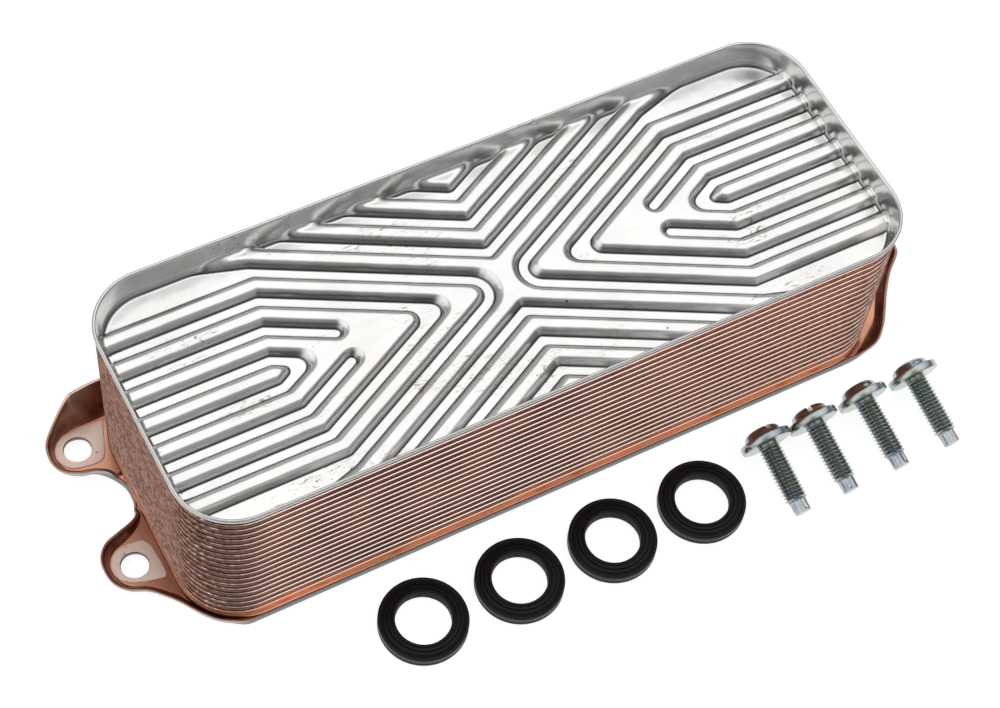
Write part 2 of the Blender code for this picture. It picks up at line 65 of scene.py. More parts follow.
# ---- pack of plates ----
HALF_LENGTH, HALF_WIDTH, TOP = node_box("end_plate")[1]
CORNER_RADIUS = 16.0
CORE_X, CORE_Y = HALF_LENGTH - CORNER_RADIUS, HALF_WIDTH - CORNER_RADIUS
CHANNEL_PLATES = 16
PORT_PLATES = 3
PORT_X, PORT_Y = 79.0, 18.5
PORT_RADIUS = 7.5
PORT_SIDES = 40
PORT_CENTRES = ((-PORT_X, -PORT_Y), (PORT_X, -PORT_Y), (PORT_X, PORT_Y), (-PORT_X, PORT_Y))
COLLAR_WALL = 1.3
COLLAR_HEIGHT = 1.9
DRAFT = 0.15
BACKING_DRAFT = 0.11
SHEET = 0.22

# ---- pressed pattern of the end plate ----
RIDGE_Z = 48.9
GROOVE_Z = 46.8
FLOOR_HALF = 1.15
SHOULDER_HALF = 3.5
RIDGE_PITCH = 8.33
CHEVRON_STEP = 9.5
CHEVRON_SLOPE = 0.52
WALL_FOOT = 1.75
WALL_FILLET = 1.4
GRID_STEP = 0.42
CHEVRON_ARM = 90.0
PAST_EDGE = 130.0
CENTRE_FLARE = 56.5
CENTRE_SIDE = (72.0, 52.0)
CENTRE_STEP = 4.6
SHORT_GROOVE_END = 45.0
# corner radii of the grooves: at the edge of the floor, and at the edge of the shoulder
INNER_BEND = (1.8, 0.8)
OUTER_BEND = (0.8, 2.0)
NOSE_BEND = (2.6, 4.2)
HEEL_BEND = (3.1, 0.9)
TIP_BEND = (5.75, 7.9)
CORE_BEND = (3.4, 1.6)
FLARE_RADIUS = 3.0

# ---- loose kit ----
SEALS = 4
SCREW_HEADS = ((53.1, -51.9), (67.6, -51.9), (83.4, -51.6), (99.5, -51.6))
SCREW_TIPS = ((53.2, -70.7), (68.0, -70.9), (84.0, -70.5), (100.0, -70.1))
SCREW_LENGTH = 20.0
HEAD_RADIUS = 7.0
TIP_RADIUS = 2.25


def clamped(value):
    return min(1.0, max(0.0, value))


# ---- outlines ----
def rounded_corner(path, index, radius, steps=8):
    """The same polyline with one corner replaced by an arc that fits its two sides."""
    before, corner, after = (complex(*path[(index + i) % len(path)]) for i in (-1, 0, 1))
    side_a, side_b = before - corner, after - corner
    toward_a, toward_b = side_a / abs(side_a), side_b / abs(side_b)
    half_angle = abs(phase(toward_a / toward_b)) / 2.0
    cut = min(radius / tan(half_angle), 0.49 * abs(side_a), 0.49 * abs(side_b))
    middle = toward_a + toward_b
    centre = corner + middle / abs(middle) * cut / cos(half_angle)
    start = corner + toward_a * cut - centre
    sweep = phase((corner + toward_b * cut - centre) / start)
    arc = [centre + start * rect(1.0, sweep * i / steps) for i in range(steps + 1)]
    return path[:index] + [(point.real, point.imag) for point in arc] + path[index + 1:]


def rounded(path, radii):
    """Rounds the inner corners of an open polyline, one radius for each."""
    for index in range(len(path) - 2, 0, -1):
        if radii[index - 1] > 0.0:
            path = rounded_corner(path, index, radii[index - 1])
    return path


def offset_path(path, distance):
    """Mitred parallel of an open polyline, to the left for a positive distance."""
    points = [complex(*point) for point in path]
    left = [(b - a) / abs(b - a) * 1j for a, b in zip(points, points[1:])]
    result = []
    for point, before, after in zip(points, left[:1] + left, left + left[-1:]):
        mitre = before + after
        moved = point + mitre * distance / (mitre * before.conjugate()).real
        result.append((moved.real, moved.imag))
    return result


def mirror(outline, sx, sy):
    return [(sx * x, sy * y) for x, y in outline]


def both_sides(path, half, left_radii, right_radii, cap=()):
    """Outline of a groove along a path, with its own corner radii on each side."""
    left = rounded(offset_path(path, half), left_radii)
    right = rounded(offset_path(path, -half), right_radii)
    return left + list(cap) + right[::-1]


def groove_outlines(half):
    """Every groove of the end plate at one half-width.  Corner radii blend from floor to shoulder."""
    slope = CHEVRON_SLOPE
    rise = half * hypot(1.0, slope)
    blend = (half - FLOOR_HALF) / (SHOULDER_HALF - FLOOR_HALF)

    def bend_radius(floor_radius, shoulder_radius):
        return floor_radius + (shoulder_radius - floor_radius) * blend

    inner_bend = bend_radius(*INNER_BEND)
    outer_bend = bend_radius(*OUTER_BEND)
    outlines = []
    for k in (1, 2, 3):
        top = CHEVRON_STEP * k
        end_y = top + slope * CHEVRON_ARM
        path = [(-CHEVRON_ARM, end_y), (0.0, top), (CHEVRON_ARM, end_y)]
        chevron = both_sides(path, half, [inner_bend], [outer_bend])
        outlines += [chevron, mirror(chevron, 1, -1)]
    # the wide flats along the rim, joined round the middle by the first groove
    edge = RIDGE_PITCH * 3.5 - half
    bend = (edge + rise) / slope
    flare_y = slope * CENTRE_FLARE + rise
    side_x, side_y = CENTRE_SIDE
    side_foot = flare_y + CENTRE_STEP + 0.25 * (half - FLOOR_HALF)
    outer = [(-PAST_EDGE, side_y), (-side_x, side_y), (-side_x, side_foot), (-CENTRE_FLARE, flare_y)]
    outer += [(rise / slope, 0.0)]
    outer += [(x, -y) for x, y in outer[-2::-1]]
    outer = rounded(outer, [0.0, 0.0, FLARE_RADIUS, bend_radius(*TIP_BEND), FLARE_RADIUS, 0.0, 0.0])
    inner = [(-PAST_EDGE, edge), (-bend, edge), (-rise / slope, 0.0), (-bend, -edge), (-PAST_EDGE, -edge)]
    inner = rounded(inner, [outer_bend, bend_radius(*CORE_BEND), outer_bend])
    flat = outer + inner[::-1]
    outlines += [flat, mirror(flat, -1, 1)]
    # two closed loops
    for k, level in ((2.5, CHEVRON_STEP), (0.5, CHEVRON_STEP * 3.0)):
        y = RIDGE_PITCH * k
        bend = (y + level) / slope
        path = [(-PAST_EDGE, y), (-bend, y), (-level / slope, 0.0), (-bend, -y), (-PAST_EDGE, -y)]
        loop = both_sides(path, half, [inner_bend, bend_radius(*NOSE_BEND), inner_bend],
                          [outer_bend, bend_radius(*HEEL_BEND), outer_bend])
        outlines += [loop, mirror(loop, -1, 1)]
    # four short grooves with a rounded end
    y = RIDGE_PITCH * 1.5
    level = CHEVRON_STEP * 2.0
    bend = (y + level) / slope
    end_y = slope * SHORT_GROOVE_END - level
    path = [(-PAST_EDGE, y), (-bend, y), (-SHORT_GROOVE_END, end_y)]
    heading = atan2(end_y - y, bend - SHORT_GROOVE_END)
    turns = [heading + pi / 2.0 - pi * i / 12.0 for i in range(1, 12)]
    cap = [(half * cos(turn) - SHORT_GROOVE_END, half * sin(turn) + end_y) for turn in turns]
    short = both_sides(path, half, [inner_bend], [outer_bend], cap)
    outlines += [short, mirror(short, 1, -1), mirror(short, -1, 1), mirror(short, -1, -1)]
    return outlines


def each_side(outline):
    """Each point of a closed outline with the one after it."""
    return zip(outline, outline[1:] + outline[:1])


def edge_distance(px, py, outline):
    """Distance of every point from the nearest side of a closed outline."""
    best = np.full(px.shape, np.inf)
    for (ax, ay), (bx, by) in each_side(outline):
        dx, dy = bx - ax, by - ay
        square = dx * dx + dy * dy
        if square > 0.0:
            t = np.clip(((px - ax) * dx + (py - ay) * dy) / square, 0.0, 1.0)
            best = np.minimum(best, (px - ax - t * dx) ** 2 + (py - ay - t * dy) ** 2)
    return np.sqrt(best)


def inside(px, py, outline):
    """Which of the points lie in a closed outline."""
    hit = np.zeros(px.shape, bool)
    for (ax, ay), (bx, by) in each_side(outline):
        if ay != by:
            hit ^= ((ay > py) != (by > py)) & (px < (bx - ax) * (py - ay) / (by - ay) + ax)
    return hit


def press_profile():
    """Share of the height against the share of the way up a slope: tight foot, well rounded shoulder."""
    way = np.linspace(0.0, 1.0, 129)
    foot_share, shoulder_share = 0.14, 0.74
    steepness = np.minimum(way / foot_share, 1.0) * np.minimum((1.0 - way) / shoulder_share, 1.0)
    height = np.concatenate([[0.0], np.cumsum((steepness[1:] + steepness[:-1]) / 2.0)])
    return way, height / height[-1]


def pressed_height(px, py):
    """Height of the pressed floor over any set of points."""
    climb = np.ones(px.shape)
    for floor, shoulder in zip(groove_outlines(FLOOR_HALF), groove_outlines(SHOULDER_HALF)):
        picked = np.flatnonzero(inside(px, py, shoulder))
        qx, qy = px[picked], py[picked]
        to_floor = np.where(inside(qx, qy, floor), 0.0, edge_distance(qx, qy, floor))
        to_shoulder = edge_distance(qx, qy, shoulder)
        climb[picked] = np.minimum(climb[picked], to_floor / (to_floor + to_shoulder + 1e-9))
    way, height = press_profile()
    return GROOVE_Z + (RIDGE_Z - GROOVE_Z) * np.interp(climb, way, height)


# ---- mesh helpers ----
def link_object(name, data):
    made = bpy.data.objects.new(name, data)
    bpy.context.scene.collection.objects.link(made)
    return made


def face_outward(mesh):
    """Turns every face of a closed mesh outward."""
    work = bmesh.new()
    work.from_mesh(mesh)
    bmesh.ops.recalc_face_normals(work, faces=work.faces)
    work.to_mesh(mesh)
    work.free()


def add_piece(name, shell, materials, replaced, body=BODY, smooth_angle=40.0, place=None):
    """Makes a mesh object from a shell in millimetres, and hangs it on a body of the frame."""
    mesh = shell.mesh(name, MM)
    for material in materials:
        mesh.materials.append(material)
    mesh.polygons.foreach_set("material_index", shell.tints)
    mesh.validate()
    face_outward(mesh)
    if place is not None:
        mesh.transform(place)
    mesh.shade_smooth()
    mesh.set_sharp_from_angle(angle=radians(smooth_angle))
    piece = link_object(name, mesh)
    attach(piece, body)
    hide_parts(*replaced)
    return piece


class Shell:
    """One body, built from loops, bands between loops and filled caps.

    Each face has a tint, which is the place of its material in the piece's list."""

    def __init__(self, points=(), faces=(), tints=()):
        self.points = list(points)
        self.faces = list(faces)
        self.tints = list(tints)
        self.tint = 0
        self.lookup = {}

    def mesh(self, name, scale=1.0):
        made = bpy.data.meshes.new(name)
        made.from_pydata((np.asarray(self.points, float) * scale).tolist(), [], self.faces)
        return made

    def point(self, x, y, z):
        key = (round(x, 4), round(y, 4), round(z, 4))
        if key not in self.lookup:
            self.lookup[key] = len(self.points)
            self.points.append((x, y, z))
        return self.lookup[key]

    def loop(self, outline, z):
        heights = z if hasattr(z, "__len__") else [z] * len(outline)
        return [self.point(x, y, h) for (x, y), h in zip(outline, heights)]

    def face(self, corners):
        distinct = list(dict.fromkeys(corners))
        if len(distinct) > 2:
            self.faces.append(distinct)
            self.tints.append(self.tint)

    def band(self, lower, upper):
        for (a, b), (d, c) in zip(each_side(lower), each_side(upper)):
            self.face([a, b, c, d])

    def turned(self, profile, sides, centre=(0.0, 0.0)):
        """One loop for each radius and height of a profile, round an upright axis."""
        return [self.loop(circle(*centre, radius, sides), z) for radius, z in profile]

    def bands(self, loops):
        for lower, upper in zip(loops, loops[1:]):
            self.band(lower, upper)

    def cap(self, outline, holes, z):
        verts = []
        edges = []
        for ring in [outline] + list(holes):
            start = len(verts)
            verts.extend(Vector(point) for point in ring)
            edges.extend(each_side(list(range(start, len(verts)))))
        found = delaunay_2d_cdt(verts, edges, [], 0, 1e-6, True)
        flat, triangles = found[0], found[2]
        centre_x, centre_y = np.array([np.mean([flat[i] for i in t], axis=0) for t in triangles]).T
        keep = inside(centre_x, centre_y, outline)
        for hole in holes:
            keep &= ~inside(centre_x, centre_y, hole)
        for triangle, kept in zip(triangles, keep):
            if kept:
                self.face([self.point(flat[i][0], flat[i][1], z) for i in triangle])


def circle(cx, cy, radius, sides):
    step = 2.0 * pi / sides
    return [(cx + radius * cos(step * i), cy + radius * sin(step * i)) for i in range(sides)]


class Track:
    """A rounded rectangle that can be offset.  Holds a core point and an outward normal for each step."""

    def __init__(self, half_x, half_y, radius, corner_steps=20, spacing=2.6):
        self.radius = radius
        core_x, core_y = half_x - radius, half_y - radius
        self.core = []
        self.normal = []
        quarters = ((1, 1, -1, 0), (-1, 1, 0, -1), (-1, -1, 1, 0), (1, -1, 0, 1))
        for quarter, (sx, sy, dx, dy) in enumerate(quarters):
            for i in range(corner_steps + 1):
                angle = pi / 2.0 * (quarter + i / corner_steps)
                self.core.append((sx * core_x, sy * core_y))
                self.normal.append((cos(angle), sin(angle)))
            along = 2.0 * (core_x if quarter % 2 == 0 else core_y)
            steps = max(1, round(along / spacing))
            for i in range(1, steps):
                shift = along * i / steps
                self.core.append((sx * core_x + dx * shift, sy * core_y + dy * shift))
                self.normal.append(self.normal[-1])

    def at(self, inset):
        reach = self.radius - inset
        return [(cx + nx * reach, cy + ny * reach) for (cx, cy), (nx, ny) in zip(self.core, self.normal)]


# ---- materials ----
# Where the finishes change: heights above the mounting plate's underside.
# painted shadow: below these heights the copper finish is painted near black, for the gap over the mounting
# plate
SEAM_SHADOW_Z = (3.0, 3.3)
FOLD_Z = (2.6, 3.6)
BARE_Z = (2.4, 3.6)
CROWN_Z = (5.0, 12.0)
BRAZE_Z = (5.0, 8.2)
BRAZE_CREEP = 1.6
# The same along the pack, from its middle.
ROUNDED_X = (80.0, 97.0)
END_FACE_X = (96.5, 99.2)
BRIGHT_X = (-10.0, 80.0)


class Nodes:
    """Short hand for building a node tree."""

    def __init__(self, tree):
        self.tree = tree

    def add(self, kind, values=None, **settings):
        node = self.tree.nodes.new("ShaderNode" + kind)
        for key, value in settings.items():
            setattr(node, key, value)
        for key, value in (values or {}).items():
            if isinstance(value, bpy.types.NodeSocket):
                self.tree.links.new(value, node.inputs[key])
            else:
                node.inputs[key].default_value = value
        return node

    def math(self, operation, a, b=0.0):
        return self.add("Math", {0: a, 1: b}, operation=operation).outputs["Value"]

    def times(self, a, b):
        return self.math("MULTIPLY", a, b)

    def spread(self, value, low, high, from_low=0.0, from_high=1.0, fade="LINEAR"):
        """Carries a value from one range over to another, and holds it at the ends."""
        values = {"Value": value, "From Min": from_low, "From Max": from_high, "To Min": low, "To Max": high}
        return self.add("MapRange", values, interpolation_type=fade).outputs["Result"]


class Finish(Nodes):
    """One material: textures laid out in the frame's own space, round a Principled shader."""

    def __init__(self, name, constants):
        self.material = bpy.data.materials.new(name)
        self.material.use_nodes = True
        super().__init__(self.material.node_tree)
        self.shader = self.tree.nodes["Principled BSDF"]
        for key, value in constants.items():
            self.shader.inputs[key].default_value = value
        self.position = self.add("TexCoord").outputs["Object"]

    def done(self, colour, rough, normal):
        """Links what every material drives, and hands the material over."""
        for socket, name in ((colour, "Base Color"), (rough, "Roughness"), (normal, "Normal")):
            self.tree.links.new(socket, self.shader.inputs[name])
        return self.material

    def stretched(self, *scale):
        return self.add("Mapping", {"Vector": self.position, "Scale": scale}).outputs["Vector"]

    def noise(self, scale, detail=3.0, rough=0.5, vector=None, distortion=0.0):
        values = {"Scale": scale, "Detail": detail, "Roughness": rough, "Distortion": distortion}
        return self.add("TexNoise", {"Vector": vector or self.position, **values}).outputs["Fac"]

    def ramp(self, value, stops):
        node = self.add("ValToRGB", {"Fac": value})
        ramp = node.color_ramp
        while len(ramp.elements) < len(stops):
            ramp.elements.new(0.5)
        for element, (place, colour) in zip(ramp.elements, stops):
            element.position = place
            element.color = colour
        return node.outputs["Color"]

    def cut(self, value, low, high, top=1.0):
        """0 where a texture is below one level, rising to `top` where it is above another."""
        return self.ramp(value, ((low, grey(0.0)), (high, grey(top))))

    def mix(self, factor, a, b):
        return self.add("Mix", {"Factor": factor, 6: a, 7: b}, data_type="RGBA").outputs[2]

    def bump(self, height, strength, distance, normal=None):
        values = {"Height": height, "Strength": strength, "Distance": distance}
        if normal is not None:
            values["Normal"] = normal
        return self.add("Bump", values).outputs["Normal"]

    def axis(self, name, vector=None):
        return self.add("SeparateXYZ", {"Vector": vector or self.position}).outputs[name]

    def by_height(self, bottom, top, low_value=1.0, high_value=0.0):
        """Goes from one value to another between two heights in millimetres."""
        return self.spread(self.axis("Z"), low_value, high_value, bottom * MM, top * MM)

    def by_tilt(self, steep, level):
        """1 where a face's normal rises less than `steep`, 0 where it rises more than `level`."""
        normal = self.add("NewGeometry").outputs["Normal"]
        return self.spread(self.axis("Z", normal), 1.0, 0.0, steep, level)

    def by_length(self, start, end):
        """Rises from 0 to 1 between two distances from the pack's middle, towards both ends."""
        return self.spread(self.math("ABSOLUTE", self.axis("X")), 0.0, 1.0, start * MM, end * MM)

    def to_the_right(self, share):
        """Rises from 0 in the middle of the pack to a share at its right end."""
        start, end = BRIGHT_X
        return self.times(self.spread(self.axis("X"), 0.0, 1.0, start * MM, end * MM), share)


def rgb(red, green, blue):
    return (red, green, blue, 1.0)


def grey(level):
    return rgb(level, level, level)


METAL = {"Metallic": 1.0}


def bright_steel():
    """Stainless sheet, lightly milled, with warm stains, pressing scuffs and dark specks, and painted shade
    on its pressed slopes and upright wall.
    """
    n = Finish("bright_steel_plate", METAL)
    cloud = n.noise(60.0, 4.0, 0.6)
    colour = n.mix(cloud, grey(0.7), grey(0.97))
    stain = n.cut(n.noise(38.0, 4.0, 0.7, n.stretched(0.5, 1.6, 1.0)), 0.54, 0.68, 0.4)
    colour = n.mix(stain, colour, rgb(0.78, 0.75, 0.7))
    scuffs = n.noise(620.0, 5.0, 0.8, n.stretched(0.4, 1.5, 1.0), 1.5)
    patches = n.noise(40.0, 2.0, 0.5, n.stretched(0.7, 1.3, 1.0))
    scuffed = n.times(n.cut(scuffs, 0.57, 0.61, 0.8), n.cut(patches, 0.53, 0.6))
    colour = n.mix(scuffed, colour, rgb(0.26, 0.22, 0.19))
    # painted shade: the pressed slopes are darkened by their tilt, most towards their foot, with a painted
    # shadow in a crease at the foot; the upright wall is painted a darker brownish grey as shade
    pressed = n.by_height(RIDGE_Z + 0.05, RIDGE_Z + 0.25)
    slope = n.times(pressed, n.by_tilt(0.78, 0.994))
    shade = n.by_height(GROOVE_Z + 0.2, RIDGE_Z - 0.1, 0.62, 0.05)
    colour = n.mix(n.times(slope, shade), colour, grey(0.16))
    # painted shadow: near black in the crease at the foot of each slope
    crease_shade = n.times(n.by_height(GROOVE_Z + 0.18, GROOVE_Z + 0.62), n.by_tilt(0.88, 0.985))
    colour = n.mix(n.times(crease_shade, 0.93), colour, grey(0.02))
    # painted shade: the upright wall is darkened towards a brownish grey
    wall = n.math("SUBTRACT", 1.0, pressed)
    colour = n.mix(n.times(wall, 0.3), colour, rgb(0.4, 0.39, 0.37))
    cells = n.add("TexVoronoi", {"Vector": n.position, "Scale": 170.0})
    chosen = n.cut(cells.outputs["Color"], 0.8, 0.82)
    spot = n.ramp(cells.outputs["Distance"], ((0.05, grey(1.0)), (0.08, grey(0.0))))
    colour = n.mix(n.times(chosen, spot), colour, rgb(0.05, 0.045, 0.04))
    rough = n.math("ADD", n.spread(cloud, 0.17, 0.27), n.times(scuffed, 0.25))
    waves = n.bump(n.noise(75.0, 2.0, 0.5), 0.6, 0.0011)
    return n.done(colour, rough, n.bump(n.noise(2600.0, 2.0, 0.6), 0.1, 0.00005, waves))


def steel_edge():
    """Sheared edge of the stainless sheet: duller, and painted darker than the pressed face as shade for the
    dark outline round the lip.
    """
    n = Finish("steel_edge_painted_shade", METAL)
    grain = n.noise(900.0, 4.0, 0.7)
    colour = n.mix(grain, grey(0.36), grey(0.66))
    return n.done(colour, n.spread(grain, 0.28, 0.5), n.bump(grain, 0.2, 0.0001))


def foot_band(n):
    """Where the braze gathered at the foot of the pack: strong on the long sides, faint on the ends."""
    drift = n.noise(120.0, 3.0, 0.6, n.stretched(1.0, 1.0, 0.1))
    creep = n.spread(drift, -BRAZE_CREEP * MM, BRAZE_CREEP * MM, 0.3, 0.7)
    bottom, top = BRAZE_Z
    low = n.spread(n.math("ADD", n.axis("Z"), creep), 1.0, 0.0, bottom * MM, top * MM)
    return n.times(low, n.spread(n.by_length(*ROUNDED_X), 1.0, 0.25))


def copper_wall():
    """Recessed wall of a brazed tray: stained copper, painted dark as the shade under the rolled edge, that
    turns orange near the foot of the pack.
    """
    n = Finish("copper_wall_stains_and_shade", METAL)
    streak = n.noise(900.0, 4.0, 0.65, n.stretched(1.0, 1.0, 0.3))
    cloud = n.noise(55.0, 4.0, 0.6)
    mottle = n.cut(streak, 0.4, 0.6)
    # painted shade: the dark base colour stands for the shade under the rolled edge above
    colour = n.mix(n.cut(cloud, 0.38, 0.62), rgb(0.15, 0.05, 0.032), rgb(0.28, 0.105, 0.065))
    bloom = n.mix(mottle, rgb(0.24, 0.085, 0.052), rgb(0.6, 0.27, 0.175))
    colour = n.mix(n.to_the_right(0.75), colour, bloom)
    sooty = n.mix(mottle, rgb(0.05, 0.034, 0.03), rgb(0.3, 0.165, 0.13))
    colour = n.mix(n.times(n.by_length(*ROUNDED_X), 0.75), colour, sooty)
    ends = n.mix(n.cut(streak, 0.4, 0.62), rgb(0.14, 0.075, 0.058), rgb(0.34, 0.195, 0.15))
    colour = n.mix(n.by_length(*END_FACE_X), colour, ends)
    colour = n.mix(foot_band(n), colour, rgb(0.85, 0.35, 0.19))
    # painted shadow: a near-black line along the seam over the mounting plate
    colour = n.mix(n.by_height(*SEAM_SHADOW_Z), colour, rgb(0.03, 0.017, 0.013))
    grain = n.bump(n.noise(2600.0, 2.0, 0.6), 0.3, 0.00006, n.bump(streak, 0.5, 0.00015))
    return n.done(colour, n.spread(streak, 0.3, 0.52), grain)


def copper_edge():
    """Rolled edge of a brazed tray: a pale painted highlight along the sides, broken and sooty round the
    corners.
    """
    n = Finish("copper_edge_painted_highlight", METAL)
    dashes = n.noise(700.0, 3.0, 0.6)
    cloud = n.noise(60.0, 3.0, 0.6)
    # painted highlight: the pale colour stands for the light the rim's top catches
    bright = n.mix(cloud, rgb(1.0, 0.79, 0.7), rgb(1.0, 0.92, 0.87))
    bright = n.mix(n.to_the_right(0.5), bright, rgb(0.8, 0.5, 0.4))
    broken = n.ramp(dashes, ((0.42, rgb(0.06, 0.035, 0.03)), (0.55, rgb(0.36, 0.21, 0.165)),
                             (0.7, rgb(0.9, 0.7, 0.61))))
    colour = n.mix(n.by_length(*ROUNDED_X), bright, broken)
    ends = n.mix(n.cut(dashes, 0.4, 0.62), rgb(0.16, 0.085, 0.068), rgb(0.38, 0.225, 0.18))
    colour = n.mix(n.by_length(*END_FACE_X), colour, ends)
    colour = n.mix(foot_band(n), colour, rgb(0.9, 0.5, 0.34))
    return n.done(colour, n.spread(dashes, 0.12, 0.3), n.bump(dashes, 0.3, 0.0001))


def coppered_steel():
    """Drawn sheet with a copper bloom: brown on the lip, with painted shade making it darker, paler at its
    crown as painted light, orange at its foot.
    """
    n = Finish("coppered_sheet_shade_and_light", METAL)
    cloud = n.noise(70.0, 4.0, 0.6)
    # painted shade: the lip's dark brown stands for the shade on its inner face
    lip = n.mix(n.cut(cloud, 0.35, 0.7), rgb(0.28, 0.125, 0.085), rgb(0.52, 0.3, 0.22))
    # painted light: the lip is painted paler towards its crown
    colour = n.mix(n.by_height(*CROWN_Z, 0.0, 0.75), lip, rgb(0.86, 0.62, 0.52))
    colour = n.mix(n.times(n.by_height(*FOLD_Z), 0.55), colour, rgb(0.74, 0.36, 0.23))
    return n.done(colour, n.spread(cloud, 0.2, 0.34), n.bump(n.noise(1800.0, 3.0, 0.6), 0.15, 0.00005))


def ear_pad():
    """The pads round the ear holes: pinkish steel painted pale as painted light, dull, with a few dark
    specks.
    """
    n = Finish("ear_pad_painted_light", {"Metallic": 0.25})
    cloud = n.noise(90.0, 4.0, 0.6)
    # painted light: the pale colour stands for the light the pads' flat tops catch
    colour = n.mix(cloud, rgb(0.9, 0.62, 0.52), rgb(1.0, 0.83, 0.74))
    speck = n.cut(n.noise(900.0, 2.0, 0.5), 0.7, 0.74, 0.7)
    colour = n.mix(speck, colour, rgb(0.2, 0.11, 0.08))
    return n.done(colour, n.spread(cloud, 0.34, 0.48), n.bump(n.noise(1500.0, 3.0, 0.6), 0.2, 0.00005))


def bare_edge():
    """Outer edge of the mounting plate, where the copper has run off: blue-grey steel."""
    n = Finish("bare_steel_edge", METAL)
    cloud = n.noise(200.0, 4.0, 0.6)
    low = n.mix(cloud, rgb(0.13, 0.135, 0.15), rgb(0.24, 0.24, 0.26))
    high = n.mix(cloud, rgb(0.38, 0.34, 0.31), rgb(0.52, 0.48, 0.45))
    colour = n.mix(n.by_height(*BARE_Z, 0.0, 1.0), low, high)
    return n.done(colour, n.spread(cloud, 0.3, 0.5), n.bump(cloud, 0.2, 0.0001))


def black_rubber():
    """Moulded rubber: nearly black, finely pitted, with a low gloss."""
    n = Finish("black_rubber_moulded", {"Specular IOR Level": 0.28})
    cloud = n.noise(300.0, 4.0, 0.6)
    colour = n.mix(cloud, rgb(0.0018, 0.0018, 0.0022), rgb(0.006, 0.006, 0.007))
    return n.done(colour, n.spread(cloud, 0.34, 0.5), n.bump(n.noise(4200.0, 3.0, 0.6), 0.7, 0.0001))


def zinc_plate():
    """Clear-passivated zinc: bluish silver with faint straw and green tints."""
    n = Finish("zinc_plate_finish", METAL)
    tint = n.noise(260.0, 2.0, 0.5)
    fine = n.noise(3000.0, 3.0, 0.6)
    colour = n.ramp(tint, ((0.32, rgb(0.3, 0.37, 0.45)), (0.5, rgb(0.46, 0.5, 0.5)),
                           (0.66, rgb(0.4, 0.42, 0.35))))
    return n.done(colour, n.spread(fine, 0.16, 0.3), n.bump(fine, 0.15, 0.00004))


def zinc_shade():
    """The same finish down in the thread: dull, and painted dark green as the shade in the thread's roots.
    """
    n = Finish("zinc_thread_painted_shade", METAL)
    tint = n.noise(500.0, 3.0, 0.6)
    # painted shade: the dark green stands for the shade down in the thread
    colour = n.mix(tint, rgb(0.18, 0.21, 0.2), rgb(0.36, 0.4, 0.38))
    return n.done(colour, n.spread(tint, 0.3, 0.5), n.bump(tint, 0.2, 0.00005))


# ---- end plate ----
def add_end_plate(materials):
    """Ribbed tray: a dense grid follows the pressing, and loops carry it up the wall and over the lip."""
    inset = WALL_FOOT + WALL_FILLET
    radius = CORNER_RADIUS - inset
    corner = [CORE_X + radius * sin(radians(a)) for a in np.linspace(0.0, 90.0, 31)[1:]]
    straight = np.linspace(-CORE_X, CORE_X, round(2.0 * CORE_X / GRID_STEP) + 1)
    columns = np.concatenate([[-c for c in reversed(corner)], straight, corner])
    beyond = np.clip((np.abs(columns) - CORE_X) / radius, 0.0, 1.0)
    reach = CORE_Y + radius * np.sqrt(1.0 - beyond ** 2)
    shares = np.linspace(-1.0, 1.0, round(2.0 * (CORE_Y + radius) / GRID_STEP) + 1)
    grid_x = np.repeat(columns, len(shares))
    grid_y = (reach[:, None] * shares).ravel()
    points = [np.stack([grid_x, grid_y, pressed_height(grid_x, grid_y)], 1)]
    index = np.arange(len(grid_x)).reshape(len(columns), -1)
    faces = np.stack([index[:-1, :-1], index[1:, :-1], index[1:, 1:], index[:-1, 1:]], -1).reshape(-1, 4)
    faces = faces.tolist()
    border = np.concatenate([index[:, 0], index[-1, 1:], index[-2::-1, -1], index[0, -2:0:-1]])
    bx, by = grid_x[border], grid_y[border]
    cx, cy = np.clip(bx, -CORE_X, CORE_X), np.clip(by, -CORE_Y, CORE_Y)
    length = np.hypot(bx - cx, by - cy)
    ux, uy = (bx - cx) / length, (by - cy) / length

    def ring(distance):
        """The border moved to a distance in from the outer edge of the lip."""
        size = CORNER_RADIUS - distance
        return cx + ux * size, cy + uy * size

    rings = []
    for share in (0.82, 0.62, 0.42, 0.24, 0.1, 0.02):
        across = WALL_FILLET * share
        rx, ry = ring(WALL_FOOT + across)
        lift = WALL_FILLET - sqrt(WALL_FILLET ** 2 - (WALL_FILLET - across) ** 2)
        rings.append((rx, ry, pressed_height(rx, ry) + lift))
    foot = rings[-1][2]
    neck = TOP - 0.7
    for share in (0.25, 0.5, 0.75, 1.0):
        rx, ry = ring(WALL_FOOT + (1.0 - WALL_FOOT) * share)
        rings.append((rx, ry, foot + (neck - foot) * share))
    lip = ((0.93, -0.28), (0.72, -0.04), (0.42, 0.0), (0.14, -0.12), (0.0, -0.42), (0.02, -0.85),
           (0.25, -1.15), (0.75, -1.35), (0.98, -1.6), (1.02, -4.0))
    for distance, below in lip:
        rx, ry = ring(distance)
        rings.append((rx, ry, np.full(len(border), TOP + below)))
    previous = border
    count = len(border)
    start = len(grid_x)
    follow = np.roll(np.arange(count), -1)
    tints = [0] * len(faces)
    # the lip's outer rings get the edge material, painted darker as shade
    first_edge_ring = len(rings) - len(lip) + 3
    for i, (rx, ry, rz) in enumerate(rings):
        points.append(np.stack([rx, ry, rz], 1))
        current = np.arange(start, start + count)
        faces += np.stack([previous, previous[follow], current[follow], current], -1).tolist()
        tints += [1 if i >= first_edge_ring else 0] * count
        previous = current
        start += count
    shell = Shell(np.concatenate(points), faces, tints)
    add_piece("ribbed_end_plate", shell, materials, ["end_plate"], smooth_angle=70.0)


# ---- trays ----
def port_outlines(radius):
    return [circle(x, y, radius, PORT_SIDES) for x, y in PORT_CENTRES]


